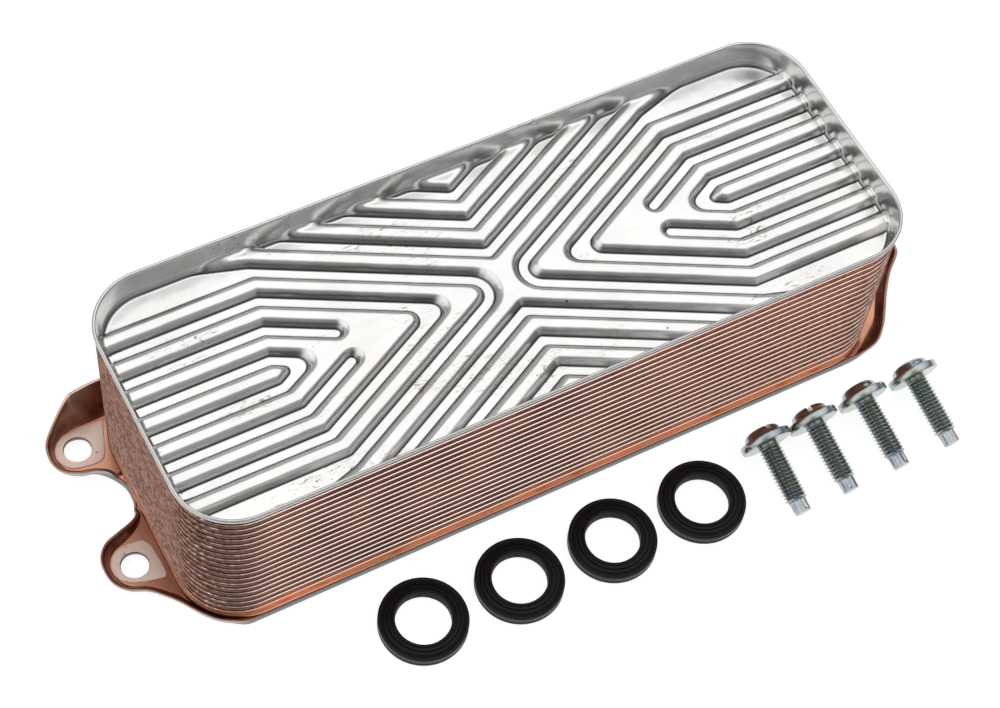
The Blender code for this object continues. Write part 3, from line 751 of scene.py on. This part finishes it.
def side_waves(track, draw):
    """Small height errors of a pressed rim: long soft waves, and a crumpled look at corners and ends."""
    phases = [draw.uniform(0.0, 6.28) for _ in range(4)]
    waves = []
    for x, y in track.at(0.0):
        angle = atan2(y, x)
        crumple = clamped((abs(x) - CORE_X) / 8.0)
        height = 0.03 * sin(5 * angle + phases[0]) + 0.02 * sin(17 * angle + phases[1])
        height += crumple * (0.05 * sin(43 * angle + phases[2]) + 0.04 * sin(71 * angle + phases[3]))
        height += draw.uniform(-1.0, 1.0) * (0.01 + 0.035 * crumple)
        waves.append(height)
    return waves


# Sections of a tray.  Each row: inset from its outside, depth below its rim, share of the rim's waves.
ROLLED_EDGE = (
    (0.42, 0.02, 1.0), (0.35, 0.0, 1.0), (0.11, 0.11, 1.0),
    (0.0, 0.26, 1.0), (0.0, 0.36, 1.0), (0.18, 0.54, 0.9),
)
# rows of the rolled edge that get the painted highlight
BRIGHT_ROWS = 2
SIDE_BEAD = ((0.4, 0.98, 0.7), (0.25, 1.05, 0.5), (0.22, 1.15, 0.5), (0.44, 1.5, 0.4))
DEEP_WALL = ((0.46, 2.55, 0.0),)


def add_tray(node, materials, collared=(), ported=True, seed=0, draft=DRAFT):
    """Pressed tray: a bright rolled edge with a painted highlight over a darker wall with painted shade,
    which sinks into the tray below it.
    """
    low, high = node_box(node)
    half_x, half_y, floor, rim = high[0], high[1], low[2], high[2]
    track = Track(half_x, half_y, CORNER_RADIUS - (HALF_LENGTH - half_x))
    waves = side_waves(track, random.Random(seed))
    deep = rim - floor
    wall_inset = 0.1 + draft * deep
    inner_wall = wall_inset + SHEET
    shell = Shell()
    rows = list(ROLLED_EDGE)
    if deep > SIDE_BEAD[-1][1] + 0.4:
        rows += SIDE_BEAD
    if deep > DEEP_WALL[-1][1] + 0.95:
        rows += DEEP_WALL
    rows += [(wall_inset, deep - 0.5, 0.0), (wall_inset + 0.5, deep, 0.0)]
    inner = [(0.44, 0.2, 1.0), (inner_wall, deep - 0.8, 0.0), (inner_wall + 0.5, deep - 0.4, 0.0)]

    def ring(inset, below, share):
        heights = [rim - below + wave * share for wave in waves]
        return shell.loop(track.at(inset), heights)

    outside = [ring(*row) for row in rows]
    inside_rings = [ring(*row) for row in inner]
    # the rolled edge gets the painted-highlight material, the rest the painted-shade wall
    shell.tint = 1
    shell.band(inside_rings[0], outside[0])
    shell.bands(outside[:BRIGHT_ROWS + 1])
    shell.tint = 0
    shell.bands(outside[BRIGHT_ROWS:])
    shell.bands(inside_rings)
    floor_top = rim - inner[-1][1]
    holes = port_outlines(PORT_RADIUS) if ported else []
    top_holes = []
    for i, hole in enumerate(holes):
        if i in collared:
            x, y = PORT_CENTRES[i]
            wide = circle(x, y, PORT_RADIUS + COLLAR_WALL, PORT_SIDES)
            crest = circle(x, y, PORT_RADIUS + 0.5, PORT_SIDES)
            shell.bands([shell.loop(hole, floor), shell.loop(hole, floor_top + COLLAR_HEIGHT - 0.3),
                         shell.loop(crest, floor_top + COLLAR_HEIGHT), shell.loop(wide, floor_top)])
            top_holes.append(wide)
        else:
            shell.band(shell.loop(hole, floor), shell.loop(hole, floor_top))
            top_holes.append(hole)
    shell.cap(track.at(rows[-1][0]), holes, floor)
    shell.cap(track.at(inner[-1][0]), top_holes, floor_top)
    add_piece(node + "_skin", shell, materials, [node], smooth_angle=22.0)


def add_trays(materials):
    for i in range(PORT_PLATES):
        add_tray("port_plate_%d" % (i + 1), materials, seed=40 + i)
    for i in range(CHANNEL_PLATES):
        last = i == CHANNEL_PLATES - 1
        collared = () if last else ((0, 2) if i % 2 == 0 else (1, 3))
        add_tray("channel_plate_%02d" % (i + 1), materials, collared, not last, seed=i)
    add_tray("backing_plate", materials, ported=False, seed=60, draft=BACKING_DRAFT)


# ---- base and mounting plate ----
def add_base_plate(material):
    low, high = node_box("base_plate")
    track = Track(high[0], high[1], CORNER_RADIUS + 0.6)
    shell = Shell()
    bottom, top = low[2], high[2]
    rows = ((0.25, bottom), (0.0, bottom + 0.25), (0.0, top - 0.55), (0.12, top - 0.2), (0.4, top))
    shell.bands([shell.loop(track.at(inset), z) for inset, z in rows])
    holes = port_outlines(PORT_RADIUS)
    for hole in holes:
        shell.band(shell.loop(hole, bottom), shell.loop(hole, top))
    shell.cap(track.at(rows[0][0]), holes, bottom)
    shell.cap(track.at(rows[-1][0]), holes, top)
    add_piece("base_plate_skin", shell, [material], ["base_plate"])


# Outer edge of the mounting plate, walked anticlockwise from the right-hand end of the near side.  Each
# row holds the foot of the edge (x, y), how far its lip leans outward (x, y), and the height of the lip.
RIGHT_NEAR_EDGE = (
    (80, -37.1, 0, -0.1, 2.5),
    (88.5, -37.1, 0, -0.1, 2.5),
    (92.6, -36.6, 0.3, -0.7, 3.2),
    (97.2, -34.6, 1, -1.8, 4.2),
    (100.4, -31.4, 1.8, -1.6, 5),
    (103, -27.8, 2.2, -1.4, 5),
    (106.4, -23, 2.3, -1.4, 5),
    (111, -17.8, 2.1, -1.5, 5),
    (116.4, -13.2, 2.1, -1.4, 5),
    (117.5, -11, 2, -0.3, 5),
    (116.8, -8.6, 1.7, 0.8, 5),
    (114.2, -6.6, 1.1, 1.5, 5),
    (110.6, -4.6, 0.8, 1.7, 5),
)
SIDE_EDGE = (
    (107.2, -3.4, 0.6, 1.9, 5),
    (104.6, -1.8, -0.6, 1.7, 4.6),
    (102.6, 0.9, -1, 0.7, 4),
    (101.2, 3.6, 0, 0, 2.5),
    (100.3, 6.4, 0, 0, 2.5),
    (100.3, 10.6, 0, 0, 2.5),
    (101.5, 13.6, 0, 0, 2.5),
    (103.4, 16.4, -0.4, -0.9, 4),
    (105.8, 18.4, 0.1, -1.5, 4.6),
    (109.2, 19.4, 0.7, -1.7, 5),
    (112.2, 21.4, 1.6, -1.2, 5),
    (113.4, 24.6, 1.9, -0.3, 5),
    (112.6, 28.4, 1.9, 0.8, 5.4),
    (110, 31.6, 1, 1.4, 7),
    (106.4, 33, 0.3, 2.8, 10.8),
    (104, 33.2, 0.2, 3.4, 12.6),
    (95.6, 33.7, 0, 3.6, 12.8),
    (93.8, 35.4, 0, 2, 9),
    (91.6, 36.7, 0, 0.6, 3.2),
    (88.5, 37.1, 0, 0.1, 2.5),
    (80, 37.1, 0, 0.1, 2.5),
)
LEFT_NEAR_EDGE = (
    (-110.2, -4.7, -1.5, 1.7, 5),
    (-112.4, -6.9, -1.9, 1, 5),
    (-113.2, -9.8, -2, 0.2, 5),
    (-112.6, -13.4, -2, -0.8, 5),
    (-110.4, -16.2, -1.6, -1.4, 5),
    (-106.6, -18, -0.9, -2, 5),
    (-102.5, -21.8, -1.3, -1.9, 5),
    (-100.3, -24.9, -1.3, -1.5, 5),
    (-98.5, -27.8, -1.4, -1.2, 5),
    (-96.8, -30.5, -1.3, -1, 5),
    (-94.5, -33, -1.1, -1.3, 5),
    (-91.7, -35, -0.9, -1.2, 4.6),
    (-88.4, -36.9, -0.3, -0.4, 3.2),
    (-84.7, -37.1, 0, -0.1, 2.5),
    (-80, -37.1, 0, -0.1, 2.5),
)
EAR_HOLES = ((-107.2, 25.8), (-107.2, -10.8), (107.2, -10.8), (107.2, 25.8))
MOUNT_THICKNESS = 2.5
WALL_SHEET = 0.9
LIP_STEPS = 5
# the loop on the lip's crest, where the bare outer edge ends, and the places of the three materials
CREST_LOOP = 8
SHEET_TINT, EDGE_TINT, PAD_TINT = 0, 1, 2
MOUNT_PORT_RADIUS = PORT_RADIUS + 0.5
EAR_HOLE_SIDES = 48
# radius and height round an ear's hole, from the underside up: relieved below, so the sheet looks thin
EAR_HOLE_PROFILE = ((4.3, 0.0), (4.3, 1.35), (3.58, 1.5), (3.55, 2.3), (3.72, 2.5))
# The raised pads round the holes of the two left ears, walked clockwise; the right ears mirror them.
FAR_PAD = (
    (-98.2, 31.0), (-100.6, 23.4), (-102.2, 20.0), (-105.7, 20.0), (-110.1, 20.8), (-112.4, 22.8),
    (-113.2, 25.3), (-112.8, 27.8), (-111.2, 30.0), (-109.0, 31.1), (-104.0, 31.6),
)
NEAR_PAD = (
    (-102.6, -5.2), (-101.3, -7.4), (-100.9, -12.5), (-100.9, -16.3), (-101.5, -17.1), (-103.6, -16.8),
    (-106.4, -16.3), (-109.6, -15.2), (-112.1, -13.3), (-113.0, -11.0), (-112.9, -8.6), (-111.7, -6.3),
    (-109.7, -5.1), (-106.4, -4.6),
)
PAD_RADIUS = 3.0
# how far in from a pad's outline, and the height there
PAD_SECTION = ((0.0, 2.3), (0.0, 2.62), (0.14, 2.78), (0.4, 2.84))


def mounting_rows():
    mirrored = [(-x, y, -dx, dy, height) for x, y, dx, dy, height in reversed(SIDE_EDGE)]
    return np.array(RIGHT_NEAR_EDGE + SIDE_EDGE + tuple(mirrored) + LEFT_NEAR_EDGE)


def smooth_rows(rows, steps):
    """Closed curve through the rows, by Catmull-Rom, with no overshoot along the long straight sides."""
    result = []
    count = len(rows)
    for i in range(count):
        before, start, end, after = rows[i - 1], rows[i], rows[(i + 1) % count], rows[(i + 2) % count]
        span = np.hypot(*(end - start)[:2])
        if span > 30.0:
            result.extend(start + (end - start) * t for t in np.linspace(0.0, 1.0, 9)[:-1])
            continue
        leave, arrive = (pull * min(1.0, span / (np.hypot(*pull[:2]) + 1e-9))
                         for pull in ((end - before) / 2.0, (after - start) / 2.0))
        for t in np.linspace(0.0, 1.0, steps + 1)[:-1]:
            a, b = 2 * t ** 3 - 3 * t ** 2 + 1, t ** 3 - 2 * t ** 2 + t
            c, d = -2 * t ** 3 + 3 * t ** 2, t ** 3 - t ** 2
            result.append(a * start + b * leave + c * end + d * arrive)
    return np.array(result)


def bowl_width(crest, rise):
    """How far the inside of the lip runs in: short round the ears, broad at the two near corners."""
    over = np.maximum(np.abs(crest) - (CORE_X, CORE_Y), 0.0)
    room = np.hypot(*over.T) - CORNER_RADIUS
    short = 0.3 + 0.07 * rise
    past_ear = np.clip((104.0 - np.abs(crest[:, 0])) / 6.0, 0.0, 1.0) * (crest[:, 1] < -17.5)
    width = short + past_ear * (np.clip(room - 1.8, 0.3, 4.0) - short)
    for _ in range(3):
        width = (np.roll(width, 1) + 2.0 * width + np.roll(width, -1)) / 4.0
    return width[:, None]


def lip_loops(shell, rows):
    """Loops from the underside up the outside of the lip, over its crest and down to the flat inside.

    Also gives the outline of the flat underside and the outline of the flat top."""
    foot = rows[:, :2]
    lean = rows[:, 2:4]
    height = rows[:, 4]
    crest = foot + lean
    along = np.roll(crest, -1, 0) - np.roll(crest, 1, 0)
    along /= np.hypot(*along.T)[:, None]
    inward = np.stack([-along[:, 1], along[:, 0]], 1)
    rise = height - MOUNT_THICKNESS
    bowl = bowl_width(crest, rise)

    def loop(outline, z):
        return shell.loop([tuple(p) for p in outline], z)

    low = np.zeros(len(rows))
    underside = foot + inward * 0.9
    loops = [loop(underside, low), loop(foot + inward * 0.35, low + 0.12),
             loop(foot + inward * 0.06, low + 0.4), loop(foot + lean * 0.15, low + 0.15 * height + 0.4)]
    for share in (0.4, 0.7, 0.9):
        loops.append(loop(foot + lean * share, share * (height - 0.25) + 0.1))
    loops += [loop(crest + inward * 0.08, height - 0.1), loop(crest + inward * 0.28, height),
              loop(crest + inward * (WALL_SHEET - 0.3), height),
              loop(crest + inward * (WALL_SHEET - 0.1), height - 0.08)]
    level = (MOUNT_THICKNESS / height)[:, None]
    top = crest + inward * WALL_SHEET
    bottom = foot + lean * level + inward * (WALL_SHEET + 0.1 + bowl * np.minimum(1.0, rise[:, None]))
    sag = 1.15 + 0.22 * bowl[:, 0]
    for share in (0.88, 0.7, 0.5, 0.3, 0.14):
        loops.append(loop(top * share + bottom * (1.0 - share), MOUNT_THICKNESS + rise * share ** sag))
    loops.append(loop(bottom, low + MOUNT_THICKNESS))
    return loops, [tuple(p) for p in underside], [tuple(p) for p in bottom]


def add_ear(shell, x, y):
    """The hole of one ear and the raised pad round it.  Gives the hole's outlines below and on top."""
    shell.tint = EDGE_TINT
    shell.bands(shell.turned(EAR_HOLE_PROFILE, EAR_HOLE_SIDES, (x, y)))
    below, above = (circle(x, y, EAR_HOLE_PROFILE[i][0], EAR_HOLE_SIDES) for i in (0, -1))
    shell.tint = PAD_TINT
    pad = [(copysign(px, x), py) for px, py in (FAR_PAD if y > 0.0 else NEAR_PAD)]
    pad = rounded(pad if x > 0.0 else pad[::-1], [PAD_RADIUS] * len(pad))
    shell.bands([shell.loop(offset_path(pad, inset), z) for inset, z in PAD_SECTION])
    inset, pad_top = PAD_SECTION[-1]
    shell.cap(offset_path(pad, inset), [above], pad_top)
    shell.band(shell.loop(above, PAD_SECTION[0][1]), shell.loop(above, pad_top))
    return below, above


def add_mount_plate(materials):
    """Drawn sheet with four ears and a lip that flares out round them."""
    shell = Shell()
    loops, underside, flat = lip_loops(shell, smooth_rows(mounting_rows(), LIP_STEPS))
    shell.tint = EDGE_TINT
    shell.bands(loops[:CREST_LOOP + 1])
    shell.tint = SHEET_TINT
    shell.bands(loops[CREST_LOOP:])
    holes = port_outlines(MOUNT_PORT_RADIUS)
    for hole in holes:
        shell.band(shell.loop(hole, 0.0), shell.loop(hole, MOUNT_THICKNESS))
    top_holes = list(holes)
    for x, y in EAR_HOLES:
        below, above = add_ear(shell, x, y)
        holes.append(below)
        top_holes.append(above)
    shell.tint = SHEET_TINT
    shell.cap(underside, holes, 0.0)
    shell.cap(flat, top_holes, MOUNT_THICKNESS)
    add_piece("mounting_plate_skin", shell, materials, ["mount_plate"], smooth_angle=32.0)


# ---- seals ----
SEAL_SIDES = 96
# radius and height round a seal's section, from the inner edge of its underside
SEAL_PROFILE = (
    (7.4, 0.0), (11.1, 0.0), (11.42, 0.12), (11.5, 0.4), (11.5, 1.05), (11.38, 1.2), (11.38, 1.4),
    (11.5, 1.55), (11.5, 2.85), (11.42, 3.1), (11.2, 3.3), (10.9, 3.38), (10.6, 3.34), (10.42, 3.08),
    (10.2, 3.08), (10.02, 3.4), (9.7, 3.5), (9.5, 3.48), (9.34, 3.16), (9.1, 3.16), (8.94, 3.52),
    (8.6, 3.6), (8.4, 3.58), (8.26, 3.3), (8.04, 3.3), (7.9, 3.62), (7.7, 3.7), (7.5, 3.7),
    (7.28, 3.58), (7.12, 3.3), (7.1, 2.95), (7.36, 2.75), (7.36, 2.5), (7.1, 2.3), (7.1, 1.95),
    (7.36, 1.75), (7.36, 1.5), (7.1, 1.3), (7.1, 0.95), (7.36, 0.75), (7.3, 0.3),
)


def add_seal(index, material):
    """Moulded rubber ring with concentric ribs, in the middle of its node's box."""
    node = "seal_%d" % index
    x, y, _ = ((low + high) / 2.0 * MM for low, high in zip(*node_box(node)))
    shell = Shell()
    loops = shell.turned(SEAL_PROFILE, SEAL_SIDES)
    shell.bands(loops + loops[:1])
    place = Matrix.Translation((x, y, 0.0))
    add_piece(node + "_ring", shell, [material], [node], node + "_loose", 50.0, place)


# ---- screws ----
SCREW_SIDES = 48
SHANK_ROWS = 199
THREAD_RADIUS = 3.05
ROOT_RADIUS = 2.3
NECK_RADIUS = 2.62
GROOVE_RADIUS = 2.68
THREAD_PITCH = 1.0
NECK_LENGTH = 0.5
THREAD_END = 16.7
CROWN_TOP = 4.8
HEAD_PROFILE = (
    (HEAD_RADIUS - 0.5, 0.0), (HEAD_RADIUS - 0.12, 0.1), (HEAD_RADIUS, 0.35), (HEAD_RADIUS, 1.85),
    (HEAD_RADIUS - 0.1, 2.05), (HEAD_RADIUS - 0.4, 2.15), (5.9, 2.25), (5.3, 2.38), (5.12, 2.6),
    (5.0, 3.1), (4.75, 3.65), (4.2, 4.15), (3.3, 4.52), (2.2, 4.72), (1.0, CROWN_TOP),
)
# The slot and the two strokes of the cross: angle, half length, half width, and depth below this height.
RECESS_STROKES = ((0.0, 7.0, 0.7, 1.7), (0.0, 2.5, 0.7, 2.2), (90.0, 2.5, 0.7, 2.2))
RECESS_TOP = 4.6
# how far each screw is turned about its own axis, in degrees
SCREW_SPINS = (8.0, -14.0, 20.0, -6.0)


def screw_radius(depth, angle):
    """Radius of the shank at a depth below the head and an angle round the axis."""
    turn = (depth / THREAD_PITCH - angle / (2.0 * pi)) % 1.0
    tooth = clamped((abs(turn - 0.5) * 2.0 - 0.12) / 0.76)
    thread = ROOT_RADIUS + (THREAD_RADIUS - ROOT_RADIUS) * tooth
    thread = NECK_RADIUS + (thread - NECK_RADIUS) * clamped((depth - NECK_LENGTH) / 0.8)
    if depth < THREAD_END - 0.7:
        return thread
    fluting = max(0.0, cos(4.0 * angle)) ** 2 * clamped((SCREW_LENGTH - 0.4 - depth) / 0.5)
    point = TIP_RADIUS - 0.32 * fluting
    return point + (thread - point) * clamped((THREAD_END - depth) / 0.7)


def recess_cutter(angle, half_long, half_wide, depth):
    """Tapered bar across the screw's axis, which cuts one stroke of the recess."""
    c, s = cos(radians(angle)), sin(radians(angle))
    outlines = []
    for long, wide in ((0.75 * half_long, 0.8 * half_wide), (half_long, half_wide)):
        corners = ((long, wide), (-long, wide), (-long, -wide), (long, -wide))
        outlines.append([(c * x - s * y, s * x + c * y) for x, y in corners])
    low, top = RECESS_TOP - depth, RECESS_TOP + 1.0
    shell = Shell()
    shell.band(shell.loop(outlines[0], low), shell.loop(outlines[1], top))
    shell.cap(outlines[0], [], low)
    shell.cap(outlines[1], [], top)
    mesh = shell.mesh("cutter")
    face_outward(mesh)
    return link_object("cutter", mesh)


def screw_shell():
    """Shank, flange and dome as one closed lathe, with the slot and cross cut out of the dome."""
    shell = Shell()
    bottom = circle(0.0, 0.0, TIP_RADIUS - 0.3, SCREW_SIDES)
    loops = [shell.loop(bottom, -SCREW_LENGTH)]
    for z in np.linspace(-SCREW_LENGTH + 0.25, 0.0, SHANK_ROWS):
        ring = []
        for i in range(SCREW_SIDES):
            angle = 2.0 * pi * i / SCREW_SIDES
            radius = screw_radius(-z, angle)
            ring.append((radius * cos(angle), radius * sin(angle)))
        loops.append(shell.loop(ring, z))
    shell.bands(loops + shell.turned(HEAD_PROFILE, SCREW_SIDES))
    shell.cap(bottom, [], -SCREW_LENGTH)
    shell.cap(circle(0.0, 0.0, HEAD_PROFILE[-1][0], SCREW_SIDES), [], CROWN_TOP)
    blank = link_object("screw_blank", shell.mesh("screw_blank"))
    cutters = [recess_cutter(*stroke) for stroke in RECESS_STROKES]
    for cutter in cutters:
        cut = blank.modifiers.new("recess", "BOOLEAN")
        cut.operation = "DIFFERENCE"
        cut.solver = "EXACT"
        cut.object = cutter
    bpy.context.view_layer.update()
    shown = blank.evaluated_get(bpy.context.evaluated_depsgraph_get())
    cut_mesh = bpy.data.meshes.new_from_object(shown)
    points = [tuple(v.co) for v in cut_mesh.vertices]
    faces = [tuple(p.vertices) for p in cut_mesh.polygons]
    for leftover in [blank] + cutters:
        bpy.data.objects.remove(leftover, do_unlink=True)
    # faces down in the thread get the painted-shade material
    return Shell(points, faces, [in_thread([points[i] for i in face]) for face in faces])


def in_thread(corners):
    """1 for a face down in the thread, 0 for any other."""
    radius = sum(hypot(x, y) for x, y, _ in corners) / len(corners)
    depth = -sum(z for _, _, z in corners) / len(corners)
    return int(radius < GROOVE_RADIUS and 0.2 < depth < THREAD_END - 0.1)


def add_screws(materials):
    """The four screws, each lying on the rim of its flange and on its tip."""
    shell = screw_shell()
    dip = atan2(HEAD_RADIUS - TIP_RADIUS, SCREW_LENGTH + 0.4)
    tilt = Matrix.Rotation(dip - pi / 2.0, 4, "Y")
    for i, (head, tip) in enumerate(zip(SCREW_HEADS, SCREW_TIPS)):
        heading = atan2(tip[1] - head[1], tip[0] - head[0])
        spin = Matrix.Rotation(radians(SCREW_SPINS[i]), 4, "Z")
        turn = Matrix.Rotation(heading, 4, "Z") @ tilt @ spin
        lowest = min((turn @ Vector(p)).z for p in shell.points)
        place = Matrix.Translation((head[0] * MM, head[1] * MM, -lowest * MM)) @ turn
        node = "screw_%d" % (i + 1)
        add_piece(node + "_body", shell, materials, [node], node + "_loose", 35.0, place)


# ---- surroundings ----
# The camera looks from here, turned by azimuth, elevation and roll in degrees.
CAMERA_PLACE = (-188.06, -273.9, 545.4)
CAMERA_ANGLES = (-34.62, 58.04, 7.91)
CAMERA_LENS = 86.558
FLOOR_SIZE = 3000.0
FLOOR_GAP = 0.2
# Each patch of the studio's surroundings: the direction it lies in, how far it reaches at full strength
# and where it has faded out (degrees), and how much it adds to what is there already.
STUDIO_PATCHES = (
    ((0.37, 0.14, 0.92), 22.0, 50.0, 0.96),
    ((0.3, -0.72, 0.62), 12.0, 44.0, 0.16),
    ((-0.1, 0.9, 0.42), 14.0, 45.0, 0.18),
    ((-0.8, 0.15, 0.55), 16.0, 50.0, 0.95),
)
# The same, for what is dark there: how much each takes away.
DARK_PATCHES = (
    ((-0.42, -0.88, 0.05), 8.0, 30.0, 0.92),
    ((0.7, -0.7, -0.02), 8.0, 26.0, 0.9),
)
STUDIO_BASE = 0.24


def add_camera():
    azimuth, elevation, roll = (radians(angle) for angle in CAMERA_ANGLES)
    turn = Matrix.Rotation(azimuth, 4, "Z") @ Matrix.Rotation(pi / 2.0 - elevation, 4, "X")
    data = bpy.data.cameras.new("camera")
    data.sensor_width = 36.0
    data.lens = CAMERA_LENS
    camera = link_object("camera", data)
    place = Matrix.Translation(Vector(CAMERA_PLACE) * MM)
    camera.matrix_world = place @ turn @ Matrix.Rotation(roll, 4, "Z")
    bpy.context.scene.camera = camera


def add_floor():
    """White paper, partly self-lit, a hair below what lies on it."""
    size = FLOOR_SIZE
    corners = ((-size, -size, 0.0), (size, -size, 0.0), (size, size, 0.0), (-size, size, 0.0))
    mesh = Shell(corners, [(0, 1, 2, 3)]).mesh("floor", MM)
    paper = Finish("floor_paper", {"Base Color": grey(0.45), "Roughness": 0.9, "Emission Color": grey(1.0),
                                   "Emission Strength": 0.85})
    mesh.materials.append(paper.material)
    floor = link_object("floor", mesh)
    floor.location.z = -FLOOR_GAP * MM


def add_surroundings():
    """Soft studio light: two bright panels, two faint ones, and two dark gaps low down in front."""
    world = bpy.data.worlds.new("studio")
    world.use_nodes = True
    n = Nodes(world.node_tree)
    direction = n.add("TexCoord").outputs["Generated"]

    def patch(heading, full, gone, amount):
        along = n.add("VectorMath", {0: direction, 1: Vector(heading).normalized()},
                      operation="DOT_PRODUCT").outputs["Value"]
        edges = (cos(radians(angle)) for angle in (gone, full))
        return n.spread(along, 0.0, amount, *edges, fade="SMOOTHSTEP")

    level = STUDIO_BASE
    for settings in STUDIO_PATCHES:
        level = n.math("ADD", patch(*settings), level)
    for settings in DARK_PATCHES:
        level = n.times(level, n.math("SUBTRACT", 1.0, patch(*settings)))
    background = n.tree.nodes["Background"]
    background.inputs["Color"].default_value = rgb(1.0, 0.992, 0.98)
    n.tree.links.new(level, background.inputs["Strength"])
    bpy.context.scene.world = world


# ---- assembly ----
def build():
    add_camera()
    wall = copper_wall()
    add_end_plate([bright_steel(), steel_edge()])
    add_trays([wall, copper_edge()])
    add_base_plate(wall)
    add_mount_plate([coppered_steel(), bare_edge(), ear_pad()])
    rubber = black_rubber()
    for index in range(1, SEALS + 1):
        add_seal(index, rubber)
    add_screws([zinc_plate(), zinc_shade()])
    add_floor()
    add_surroundings()
    bpy.context.scene.view_settings.view_transform = "Standard"


build()
